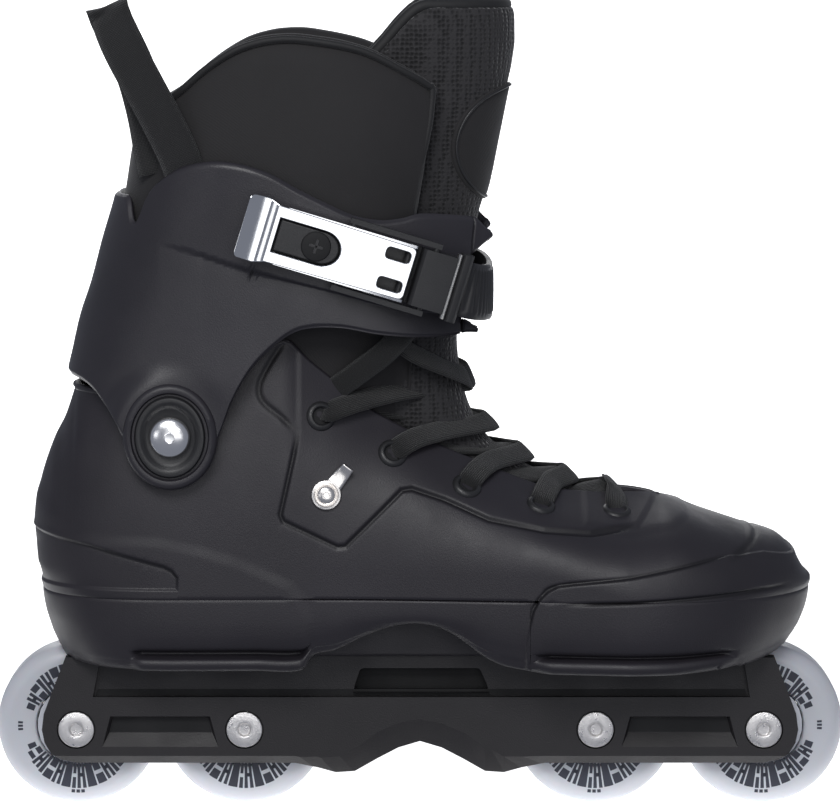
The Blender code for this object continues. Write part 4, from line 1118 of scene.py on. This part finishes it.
def smooth_corners(obj):
    """Apply one level of subdivision surface to the mesh itself."""
    bpy.context.view_layer.update()
    modifier = obj.modifiers.new("round", "SUBSURF")
    modifier.levels = modifier.render_levels = 1
    graph = bpy.context.evaluated_depsgraph_get()
    mesh = bpy.data.meshes.new_from_object(obj.evaluated_get(graph))
    obj.modifiers.clear()
    obj.data = mesh


def wrinkle(obj, height, scale):
    """Gentle hand-felt unevenness of padded fabric, in millimetres."""
    mesh = obj.data
    normals = [v.normal.copy() for v in mesh.vertices]
    for vertex, normal in zip(mesh.vertices, normals):
        value = noise.fractal(vertex.co * scale, 0.8, 2.0, 3)
        vertex.co += normal * value * height * MM


# ---------------------------------------------------------------- tongue

TONGUE_SPINE = ((34.2, 296), (34.8, 289), (34.5, 281), (33, 271), (31, 261), (28, 246), (25, 231),
                (21.5, 219),
                (18.5, 205), (16, 190), (14, 176), (14.5, 162), (18, 149), (24.5, 137.5), (36, 128),
                (50, 121),
                (64, 115), (80, 110.5))
tongue_width = curve_through([(0, 24.5), (0.1, 25.5), (0.3, 25), (0.42, 24), (0.5, 23), (0.58, 22),
                              (0.68, 20.5),
                              (0.8, 15), (0.9, 11), (1, 6)])
tongue_sweep = curve_through([(0, 52), (0.15, 52), (0.3, 46), (0.42, 42), (0.5, 37), (0.58, 32), (0.66, 29),
                              (0.73, 22), (0.8, 11), (0.88, 5), (1, 2)])


def tongue_section(spine, i, inset, count):
    """Section of the tongue at spine point i: swept back at both edges."""
    share = i / (len(spine) - 1)
    ahead = (spine[min(i + 1, len(spine) - 1)] - spine[max(i - 1, 0)]).normalized()
    outward = Vector((-ahead.z, 0, ahead.x))
    back = -outward.lerp(Vector((1, 0, 0)), 1 - ease(0.4, 0.62, share)).normalized()
    width, sweep = tongue_width(share) - inset, tongue_sweep(share)
    points = []
    for k in range(count + 1):
        u = -1 + 2 * k / count
        a = u * math.pi / 2
        across = math.copysign(abs(math.sin(a)) ** 0.85, u) * width
        depth = (1 - abs(math.cos(a)) ** 0.85) * max(sweep - inset, 1) + inset
        point = spine[i] + back * depth + Vector((0, across, 0))
        lowered = 19.0 * max((abs(u) - 0.78) / 0.22, 0) ** 1.6 * (1 - ease(0.0, 0.16, share))
        points.append(point - Vector((0, 0, lowered)))
    return points


def make_tongue():
    """Padded tongue with a bound top, in one piece from the instep to above the cuff."""
    spine = smooth_path([(x, 0, z) for x, z in TONGUE_SPINE], 5)
    count = 44
    rings = []
    for i in range(len(spine)):
        share = i / (len(spine) - 1)
        wall = mix(8.5, 4.5, ease(0.45, 0.7, share))
        pinch = 0.8 if i == 0 else (0.3 if i == 1 else 0.0)
        outer = tongue_section(spine, i, pinch, count)
        inner = tongue_section(spine, i, wall - pinch, count)
        rings.append(outer + list(reversed(inner)))
    tongue = piece("tongue", loft_mesh(rings), TONGUE_MESH, None, "liner_fabric", "tongue_shin",
                   "tongue_instep")
    smooth_corners(tongue)
    wrinkle(tongue, 0.5, 38)
    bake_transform(tongue)
    lowest = len(spine) * 2 // 5
    outline = [tongue_section(spine, i, 2.5, count)[0] for i in range(lowest, -1, -2)]
    outline += tongue_section(spine, 0, 3.0, count)[1:-1]
    outline += [tongue_section(spine, i, 2.5, count)[-1] for i in range(0, lowest + 1, 2)]
    piece("tongue_binding", tube_mesh(smooth_path(outline, 2), 2.4, 12), PIPING_BLACK, "cuff", "liner_fabric")
    make_patch(spine, count)


def make_patch(spine, count):
    """Blank oval patch sewn on the tongue's front, with a stitched border."""
    centre, half_height, half_breadth = 0.291, 0.092, 0.60

    def surface(u, share, lift):
        """Point above the tongue's face: u runs from -1 to 1 across it, share from 0 to 1 down it."""
        position = min(max(share, 0.0), 1.0) * (len(spine) - 1)
        i = int(position)
        sections = [tongue_section(spine, min(i + step, len(spine) - 1), -lift, count) for step in (0, 1)]
        column = (u + 1) / 2 * count
        j = min(int(column), count - 1)
        rows = [section[j].lerp(section[j + 1], column - j) for section in sections]
        return rows[0].lerp(rows[1], position - i)

    def oval(radius, lift, count):
        return [surface(math.sin(a) * half_breadth * radius, centre + math.cos(a) * half_height * radius,
                        lift)
                for a in [math.tau * k / count for k in range(count)]]

    rings = [oval(radius, lift, 72) for radius, lift in (
        (1.0, -0.3), (1.0, 0.7), (0.985, 0.95), (0.94, 1.0), (0.92, 0.75), (0.9, 0.75), (0.88, 0.9),
        (0.7, 0.9),
        (0.45, 0.9), (0.2, 0.9), (0.02, 0.9))]
    piece("tongue_patch", loft_mesh(rings), LINER_BLACK, "cuff", "liner_fabric")
    piece("patch_border", tube_mesh(oval(0.955, 1.05, 90), 0.5, 8, closed=True), TRIM_BLACK, "cuff",
          "liner_fabric")


# ---------------------------------------------------------------- laces and eyelets

def make_eyelets():
    """Rings of the lace eyelets, on both sides, each with a dark disc of painted shade in its hole."""
    ring = [(3.0, -1.5), (3.0, 0.7), (3.2, 1.3), (3.7, 1.7), (4.3, 1.7), (5.0, 1.2), (5.5, 0.5), (5.6, -0.8)]
    hole = [(0, 0.45), (1.6, 0.45), (3.1, 0.5), (3.2, -0.5)]
    for row, (x, z) in enumerate(EYELETS, start=1):
        for name, side in SIDES:
            place, axis = skin_point(x, z, side), shell_normal(x, z, side)
            piece(f"eyelet_{name}_{row}", turned_mesh(ring, place, axis, 40), TRIM_BLACK, "root",
                  "black_plastic")
            # Painted shade: a dark disc fills the hole, where only the shade inside it is seen.
            piece(f"eyelet_hole_shade_{name}_{row}", turned_mesh(hole, place, axis, 24), DEEP_BLACK, "root",
                  "black_plastic")


LACE_WIDTH, LACE_THICK, LACE_CROWN = 8.8, 1.3, 0.12
# Where the lace of each row meets the middle of the tongue, toe first
TONGUE_ROWS = ((70, 117.5), (54, 122.5), (37.5, 131), (24.5, 142.5), (17, 157.5))


def lace_over(row, side, lift):
    """Points from an eyelet's hole over the boot's skin and rim towards the tongue."""
    x, z = EYELETS[row]
    centre_x, centre_z = TONGUE_ROWS[row]
    rim_x = mix(x, centre_x, 0.5)
    rim_z = max(rim_height(rim_x) + 1.6, mix(z, centre_z, 0.62)) + lift
    rim = Vector((rim_x, side * (rim_half_width(rim_x) - 2), rim_z))
    hole = skin_point(x, z, side, -0.8)
    out = skin_point(mix(x, rim_x, 0.12), mix(z, rim.z, 0.2), side, 1.9)
    lying = skin_point(mix(x, rim_x, 0.45), mix(z, rim.z, 0.55), side, 2.0 + 0.4 * lift)
    return [hole, out, lying, rim]


def lace_under(row, side):
    """Points from over the tongue down inside the rim to behind an eyelet."""
    x = EYELETS[row][0]
    return [Vector((x + ahead, side * max(rim_half_width(x + ahead) - 4.5, 3), rim_height(x + ahead) - drop))
            for ahead, drop in ((16, 0.5), (5, 8))]


def lace_band(name, points, side, *nodes):
    """Band over the points, whose face turns from the boot's side to the tongue's front."""
    path = smooth_path(points, 7)
    normal = shell_normal(*EYELETS[2], side)
    ups = []
    for point in path:
        lean = min(max(point.y * side / 26, -1.0), 1.0)
        front = Vector((0.72, 0, 0.69)) if point.z < 150 else Vector((0.93, 0, 0.37))
        across = Vector((normal.x, side * abs(normal.y) * (1 if lean > 0 else -1), normal.z))
        ups.append(front.lerp(across, ease(0.25, 0.95, abs(lean))).normalized())
    mesh = band_mesh(path, ups, bunched_width, LACE_THICK, LACE_CROWN)
    piece(name, mesh, LACE_BLACK, "root", "webbing", *nodes)


def bunched_width(t):
    """Width of a lace that is gathered where it dives into an eyelet at either end."""
    return LACE_WIDTH * mix(0.5, 1.0, ease(0.0, 0.13, min(t, 1 - t)))


def make_laces():
    """Criss-cross lacing: each end leaves an eyelet outwards, crosses the tongue and goes in under the rim."""
    last = len(EYELETS) - 1
    for row, (centre_x, centre_z) in enumerate(TONGUE_ROWS):
        for letter, side, lift in (("a", -1, 1.7), ("b", 1, 0.0)):
            points = lace_over(row, side, lift) + [Vector((centre_x + lift * 0.7, 0, centre_z + lift * 0.7))]
            if row < last:
                points += lace_under(row + 1, -side)
            else:
                points += [Vector((x, -side * y, z)) for x, y,
                           z in ((9, 19, 164), (-5, 29.5, 172), (-14, 36, 183))]
            nodes = ("lace",) if (row, letter) == (0, "a") else ()
            lace_band(f"lace_row_{row + 1}_{letter}", points, side, *nodes)
    for name, side in SIDES:
        path = smooth_path([(x, side * y, z) for x, y,
                            z in ((-38, 25, 150), (-31, 29.5, 157), (-22, 33.2, 164),
                                                             (-12, 36.2, 172), (-4, 38, 181))], 6)
        mesh = band_mesh(path, [Vector((0.25, side * 0.95, 0.15)).normalized()] * len(path),
                         lambda t: LACE_WIDTH,
                         LACE_THICK, LACE_CROWN)
        piece(f"lace_end_{name}", mesh, LACE_BLACK, "root", "webbing")


def make_lace_hook():
    """Nickel plate with a tab, held by a screw."""
    x, z = -34, 120
    axis = shell_normal(x, z, -1)
    plate = [(0, -1), (5.5, -1), (5.6, 1.2), (5.2, 1.8), (4.6, 1.9), (4.1, 1.5), (3.8, 1.3), (3.4, 1.9),
             (3.1, 3.0),
             (2.4, 3.5), (1.2, 3.6), (1.0, 3.0), (0, 2.9)]
    piece("hook_plate", turned_mesh(plate, skin_point(x, z, -1), axis, 48), NICKEL, "root", "nickel_steel",
          "lace_hook", "lace_hook_screw")
    path = smooth_path([skin_point(x + along, z + up, -1, lift) for along, up, lift in (
        (2.5, 3.4, 1.3), (4.5, 5.8, 1.6), (6.2, 7.8, 2.4), (7.4, 9.3, 4.0))], 5)
    tab = band_mesh(path, [axis] * len(path), lambda t: mix(6.4, 4.6, t), 1.0)
    piece("hook_tab", tab, NICKEL, "root", "nickel_steel")


# ---------------------------------------------------------------- pull loop

def make_pull_loop():
    """Webbing loop sewn to the back of the liner; both of its ends go down inside the cuff."""
    route = [(-84, -40.0, 236), (-88, -40.2, 246), (-94, -39.5, 258), (-100.5, -37.5, 270),
             (-106.5, -35, 281),
             (-110, -32.5, 289), (-111.6, -30.5, 294.2), (-112.6, -28.5, 295.4), (-112, -26.8, 292.5),
             (-108.5, -26.2, 285), (-102.5, -27.3, 272), (-98.6, -28.5, 258), (-96.4, -29.5, 246),
             (-94.5, -31, 236)]
    path = smooth_path(route, 5)
    front, over = Vector((-0.30, -0.92, 0.12)), Vector((-0.5, 0.1, 0.86))
    ups = [front.lerp(over, ease(0.38, 0.5, t)).lerp(-front, ease(0.5, 0.62, t)).normalized()
           for t in [i / (len(path) - 1) for i in range(len(path))]]
    loop = band_mesh(path, ups, lambda t: 15.5, 1.5)
    piece("heel_loop", loop, WEBBING_BLACK, "cuff", "webbing", "pull_loop")


# ---------------------------------------------------------------- buckle and strap

def buckle_matrix():
    """From the buckle's own axes (along the strap, outwards, across) at the lever's hinge to the skate's."""
    along = Vector((math.cos(STRAP_SLOPE), 0, -math.sin(STRAP_SLOPE)))
    along = Matrix.Rotation(BUCKLE_YAW, 3, "Z") @ along
    across = Vector((math.sin(STRAP_SLOPE), 0, math.cos(STRAP_SLOPE)))
    outward = along.cross(across).normalized()
    across = along.cross(outward).normalized()
    rotation = Matrix((along, outward, across)).transposed().to_4x4()
    return Matrix.Translation(HINGE * MM) @ rotation


def buckle_plate(outline, low, high, bevel=0.25, holes=(), cuts=()):
    """Plate in the buckle's plane, split across at the cuts so that it can bend there.

    outline and holes are (along, across), low and high are heights.
    """
    curve = bpy.data.curves.new("plate", "CURVE")
    curve.dimensions = "2D"
    curve.fill_mode = "BOTH"
    curve.extrude = ((high - low) / 2 - bevel) * MM
    curve.bevel_depth = bevel * MM
    curve.bevel_resolution = 2
    curve.offset = -bevel * MM
    for loop in (outline, *holes):
        spline = curve.splines.new("POLY")
        spline.points.add(len(loop) - 1)
        for point, (u, w) in zip(spline.points, loop):
            point.co = (u * MM, w * MM, 0, 1)
        spline.use_cyclic_u = True
    temporary = bpy.data.objects.new("plate", curve)
    bpy.context.scene.collection.objects.link(temporary)
    graph = bpy.context.evaluated_depsgraph_get()
    mesh = bpy.data.meshes.new_from_object(temporary.evaluated_get(graph))
    bpy.data.objects.remove(temporary, do_unlink=True)
    bm = bmesh.new()
    bm.from_mesh(mesh)
    bmesh.ops.remove_doubles(bm, verts=bm.verts, dist=0.004 * MM)
    for u in cuts:
        bmesh.ops.bisect_plane(bm, geom=bm.verts[:] + bm.edges[:] + bm.faces[:], plane_co=(u * MM, 0, 0),
                               plane_no=(1, 0, 0))
    for vert in bm.verts:
        vert.co = Vector((vert.co.x, vert.co.z + (low + high) / 2 * MM, vert.co.y))
    bmesh.ops.recalc_face_normals(bm, faces=bm.faces)
    bm.to_mesh(mesh)
    bm.free()
    mesh.materials.clear()
    return mesh


def round_corners(outline, radius, steps=5):
    """Round every corner of a 2D outline."""
    rounded = []
    for i, corner in enumerate(outline):
        here = Vector(corner)
        before = (Vector(outline[i - 1]) - here)
        after = (Vector(outline[(i + 1) % len(outline)]) - here)
        half = before.angle(after) / 2
        reach = min(radius / math.tan(half), before.length * 0.45, after.length * 0.45)
        start, end = here + before.normalized() * reach, here + after.normalized() * reach
        for k in range(steps + 1):
            t = k / steps
            rounded.append(tuple(start * (1 - t) ** 2 + here * 2 * t * (1 - t) + end * t ** 2))
    return rounded


def rounded_box(left, right, low, high, radius, steps):
    return round_corners([(left, low), (right, low), (right, high), (left, high)], radius, steps)


def d_outline(left, half, bulge):
    """Box with a bulging front end, as (along, across)."""
    turn = [math.pi * k / 12 for k in range(13)]
    return [(left, -half), (left, half)] + [(-31 + bulge * math.sin(a), half * math.cos(a)) for a in turn]


def buckle_piece(name, mesh, material, body, slot, *nodes):
    mesh.transform(buckle_matrix())
    piece(name, mesh, material, body, slot, *nodes)
    mesh.set_sharp_from_angle(angle=math.radians(BUCKLE_SHARP_ANGLE))


def make_lever():
    """Chrome lever: a plate with a window, two slots and a flared end, on two side flanges."""
    slots = [rounded_box(-8.5, 0.5, *sorted((side * 3.4, side * 7.6)), 1.6, 4) for side in (-1, 1)]
    outline = round_corners([(-60.5, -11.6), (-53.5, -11.9), (-49, -10.4), (2, -9.6), (2, 9.6), (-49, 10.4),
                             (-53.5, 11.9), (-60.5, 11.6)], 2.2, 5)
    bends = [-60 + 0.8 * k for k in range(16)]
    mesh = buckle_plate(outline, 6.9, 8.1, 0.3, [d_outline(-48, 6.3, 7.0)] + slots, bends)
    for vertex in mesh.vertices:
        u = vertex.co.x / MM
        dip = min(max((-49.2 - u) / 4.0, 0.0), 1.0)
        curl = min(max((-54 - u) / 6.5, 0.0), 1.0)
        vertex.co.y += (2.2 * curl ** 2 - 1.1 * dip * dip * (3 - 2 * dip)) * MM
    buckle_piece("lever_plate", mesh, CHROME, "buckle_lever", "chrome", "buckle_lever")
    flange = [(-47, 7.6), (-44, 4.2), (-38, 3.2), (-12, 2.6), (-4, 2.2), (1.5, 2.6), (2.6, 4.6), (2.0, 7.6)]
    for index, side in enumerate((-1, 1), start=1):
        mesh = flange_mesh(round_corners(flange, 0.8, 3), side * 9.5, side * 10.5)
        buckle_piece(f"lever_flange_{index}", mesh, CHROME, "buckle_lever", "chrome")


def make_buckle_base():
    """Plate under the lever, with the pad that fills the lever's window and the screw that holds it."""
    base = round_corners([(-49, -8), (2, -8.5), (2, 8.5), (-49, 8)], 1.6, 4)
    buckle_piece("base_plate", buckle_plate(base, 0.0, 1.6), TRIM_BLACK, "cuff", "nickel_steel")
    pad = buckle_plate(d_outline(-47.4, 5.7, 6.4), 1.2, 7.2, 0.5)
    buckle_piece("base_pad", pad, TRIM_BLACK, "cuff", "black_plastic", "buckle_base")
    screw_x = -33
    head = [(5.4, 6.8), (5.4, 7.5), (5.0, 7.9), (3.9, 8.1), (2.6, 8.15), (0, 8.2)]
    screw = turned_mesh(head, (screw_x, 0, 0), (0, 1, 0), 36)
    buckle_piece("pad_screw", screw, DEEP_BLACK, "cuff", "nickel_steel", "buckle_screw")
    for index, (length, width) in enumerate(((2.6, 0.55), (0.55, 2.6)), start=1):
        slot = rounded_box(screw_x - length, screw_x + length, -width, width, 0.3, 2)
        buckle_piece(f"screw_slot_{index}", buckle_plate(slot, 7.9, 8.3, 0.1), TRIM_BLACK, "cuff",
                     "nickel_steel")


def flange_mesh(profile, low, high):
    """Plate standing across the buckle: profile is (along, out), low and high are places across it."""
    count = len(profile)
    points = [(u, v, low) for u, v in profile] + [(u, v, high) for u, v in profile]
    faces = [tuple(range(count)), tuple(range(count, 2 * count))]
    faces += [(i, (i + 1) % count, count + (i + 1) % count, count + i) for i in range(count)]
    return mesh_from(points, faces)


def make_bracket():
    """Moulded strap end that the bail pulls on, and the keeper with its bright edge."""
    strap_end = [(4.1, 2.0), (4.4, 6.4), (5.6, 7.6), (17.2, 7.0), (18.6, 5.8), (19.2, 0.2), (11.2, -0.6),
                 (5.2, -0.4), (1.7, 0.6), (1.7, 1.6)]
    keeper = [(18.2, -1.6), (18.4, 5.6), (19.6, 6.9), (21.6, 6.5), (22.6, 5.2), (22.8, -1.6)]
    edge = [(16.6, 3.5), (16.9, 6.6), (18.0, 7.4), (18.5, 6.4), (18.3, 3.5)]
    for name, profile, radius, half, material, slot, nodes in (
            ("strap_end", strap_end, 0.9, 10.4, STRAP_BLACK, "black_plastic", ["strap_bracket"]),
            ("keeper_band", keeper, 0.7, 12.4, STRAP_BLACK, "black_plastic", ["strap_keeper"]),
            ("keeper_edge", edge, 0.4, 12.0, STEEL, "nickel_steel", [])):
        mesh = flange_mesh(round_corners(profile, radius, 3), -half, half)
        buckle_piece(name, mesh, material, "cuff", slot, *nodes)


def strap_route():
    """Middle of the strap, from under the keeper round the front to its end on the inner side."""
    near = [buckle_matrix() @ Vector((along * MM, 0.6 * MM, 0)) / MM for along in (16.5, 24.3)]
    front = [(21.5, -41, 193.6), (24, -32, 193), (25, -20, 192.3), (25.4, 0, 192), (24.4, 19, 192.5),
             (21, 31, 193.6), (13, 40, 195.4), (0, 45.9, 198), (-14, 50, 200.5), (-28, 52.4, 203),
             (-42, 53.4, 205), (-52, 53.7, 206.2)]
    return near + [Vector(point) for point in front]


TOOTH_PITCH = 2.6


def make_strap():
    """Ladder strap that runs from the buckle round the front to its anchor on the inner side."""
    path = smooth_path(strap_route(), 16)
    rings = []
    travelled = 0.0
    for i, point in enumerate(path):
        ahead = (path[min(i + 1, len(path) - 1)] - path[max(i - 1, 0)]).normalized()
        up = (Vector((0, 0, 1)) - ahead * ahead.z).normalized()
        out = ahead.cross(up).normalized()
        if i:
            travelled += (point - path[i - 1]).length
        half = mix(10, 7, ease(130, 142, travelled))
        tooth = 0.7 * window(travelled, 5, 62, 2) * abs(math.sin(math.pi * travelled / TOOTH_PITCH))
        ring = []
        for s, h in ((-1, -0.9), (-1, 0.7), (-0.93, 1.2), (-0.8, 1.25), (-0.72, 1.0 + tooth),
                     (0, 1.1 + tooth),
                     (0.72, 1.0 + tooth), (0.8, 1.25), (0.93, 1.2), (1, 0.7), (1, -0.9), (0.9, -1.2),
                     (-0.9, -1.2)):
            ring.append(point + up * s * half + out * h)
        rings.append(ring)
    strap = piece("ladder_strap", loft_mesh(rings), STRAP_BLACK, "cuff", "black_plastic", "buckle_strap")
    strap.data.set_sharp_from_angle(angle=math.radians(50))


# ---------------------------------------------------------------- wheels

def make_wheel(number, x):
    """Tyre with flat sides and a rounded tread, and a print on each side."""
    body = f"wheel_{number}"
    r, h = WHEEL_RADIUS, WHEEL_HALF_WIDTH
    profile = [(15.3, -h + 1.2), (15.8, -h + 0.3), (17, -h), (FLAT_RADIUS, -h)]
    profile += [(FLAT_RADIUS + (r - FLAT_RADIUS) * math.sin(a), 5.6 * (1 - math.cos(a)) - h)
                for a in [math.pi / 28 * k for k in range(1, 15)]]
    mirrored = [(radius, -side) for radius, side in reversed(profile)]
    tyre = turned_mesh(profile + mirrored + [(15.3, h - 2)], (x, 0, r), (0, -1, 0), 128)
    piece(f"{body}_urethane", tyre, URETHANE, body, "tyre_urethane", f"{body}_tyre")
    turn = 180 if number == 2 else 0
    for side_name, side in SIDES:
        ink = piece(f"{body}_print_{side_name}", print_mesh(x, side * (h + 0.03), turn), PRINT_GREY, body,
                    "black_plastic", smooth=False)
        ink.modifiers.new("ink", "SOLIDIFY").thickness = 0.04 * MM


def print_mesh(x, face, turn):
    """Blocks printed on a tyre's flat side in two crescents, with small marks at three places."""
    blocks = []
    widths = (6, 8.5, 8.5, 4, 8.5, 8.5, 8.5, 3.5, 8.5, 8.5, 8.5, 8.5, 4, 8.5, 8.5, 7)
    for start in (21, 201):
        for k, width in enumerate(widths):
            swell = math.sin(math.pi * (k + 0.5) / len(widths)) ** 0.5
            outer, inner = 18.5 + 5.2 * swell, 18.5 - 4.4 * swell
            if k % 3 == 1:
                blocks += [(start, width, inner, 18.2), (start, width, 19.6, outer)]
            elif k % 3 == 2 and width > 6:
                blocks += [(start, width * 0.38, inner, outer),
                           (start + width * 0.62, width * 0.38, inner, outer),
                           (start + width * 0.3, width * 0.4, 18, 19.4)]
            else:
                blocks.append((start, width, inner, outer))
            start += width + 1.5
    for k in range(3):
        blocks += [(176 + 3.4 * k, 2.2, 20.4, 22.2), (-4 + 3.4 * k, 2.2, 20.4, 22.2),
                   (264 + 4.2 * k, 3.0, 24.2, 25.4)]
    points, faces, steps = [], [], 6
    for start, width, inner, outer in blocks:
        base = len(points)
        for k in range(steps + 1):
            a = math.radians(start + width * k / steps + turn)
            points += [(x + radius * math.cos(a), face, WHEEL_RADIUS + radius * math.sin(a))
                       for radius in (inner, outer)]
        faces += [(a, a + 1, a + 3, a + 2) for a in range(base, base + 2 * steps, 2)]
    return mesh_from(points, faces, recalculate=False)


def make_axle_heads():
    """Knurled, dished heads of the axle bolts and nuts."""
    profile = [(0, -14), (3.8, -14), (3.8, 0), (6.5, 0), (6.7, 1.6), (6.5, 2.1), (6.1, 2.3), (3.2, 2.45),
               (2.7, 2.4), (2.3, 2.1), (2.0, 1.2), (0, 1.1)]
    for number, x in enumerate(AXLES, start=1):
        for part, side in (("bolt", -1), ("nut", 1)):
            mesh = turned_mesh(profile, (x, side * (FRAME_HALF_WIDTH - 2), WHEEL_RADIUS), (0, side, 0), 60)
            piece(f"axle_{part}_head_{number}", mesh, KNURLED_STEEL, "root", "nickel_steel",
                  f"wheel_{number}_axle_{part}")


# ---------------------------------------------------------------- carried-over CAD nodes

def paint(material, *names):
    """Give carried-over CAD nodes a material."""
    for name in names:
        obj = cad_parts[name]
        obj.data.materials.clear()
        obj.data.materials.append(material)


POCKET_X = (AXLES[2] + AXLES[3]) / 2


def make_frame_shadows():
    """Unlit depths of the frame on both sides: its blind window, its pockets and the crevice above the ledge."""
    for name, side in SIDES:
        window_back, window_mouth, wall, pocket_back = (side * (FRAME_HALF_WIDTH - depth)
                                                        for depth in (9.7, 0.6, 3.12, 2.9))
        quads = [[(-24.4, window_back, 43.8), (25.4, window_back, 43.8), (21.6, window_back, 52.2),
                  (-21.6, window_back, 52.2)],
                 [(-24.6, window_back, 43.75), (25.6, window_back, 43.75), (25.6, window_mouth, 43.75),
                  (-24.6, window_mouth, 43.75)],
                 [(-119.6, wall, 42.3), (120.6, wall, 42.3), (119.9, wall, 44.7), (-118.9, wall, 44.7)]]
        for x in (-POCKET_X, POCKET_X):
            quads.append([(x - 18.8, pocket_back, 28.7), (x + 18.8, pocket_back, 28.7),
                          (x + 17.6, pocket_back, 34),
                          (x - 17.6, pocket_back, 34)])
        faces = [tuple(range(4 * i, 4 * i + 4)) for i in range(len(quads))]
        mesh = mesh_from(joined(quads), faces, recalculate=False)
        piece(f"frame_shadow_{name}", mesh, DEEP_BLACK, "root", "black_plastic", smooth=False)


def paint_nodes():
    """Materials of the nodes that are shown as they are, with painted shade on the buckle's bail and pin, and
    soft edges on the frame.
    """
    paint(FRAME_BLACK, "frame")
    paint(STEEL, "frame_bolt_front", "frame_bolt_rear", "strap_anchor")
    # Painted shade: the metal bail and its pin wear the strap's black plastic, so that their knuckles read dark
    # in the lever's slots.
    paint(STRAP_BLACK, "buckle_bail", "buckle_pin")
    paint(LINER_BLACK, "insole")
    for number in range(1, 5):
        paint(HUB_WHITE, f"wheel_{number}_hub")
        paint(STEEL, f"wheel_{number}_bearing_lateral", f"wheel_{number}_bearing_medial",
              f"wheel_{number}_spacer")
    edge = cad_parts["frame"].modifiers.new("rounded_edges", "BEVEL")
    edge.width = 0.7 * MM
    edge.segments = 2
    edge.limit_method = "ANGLE"
    edge.angle_limit = math.radians(35)


make_camera()
make_studio()
make_shell()
make_sole()
make_cuff()
make_pivots()
make_liner()
make_tongue()
make_eyelets()
make_laces()
make_lace_hook()
make_pull_loop()
make_lever()
make_buckle_base()
make_bracket()
make_strap()
for wheel_number, axle_x in enumerate(AXLES, start=1):
    make_wheel(wheel_number, axle_x)
make_axle_heads()
make_frame_shadows()
paint_nodes()
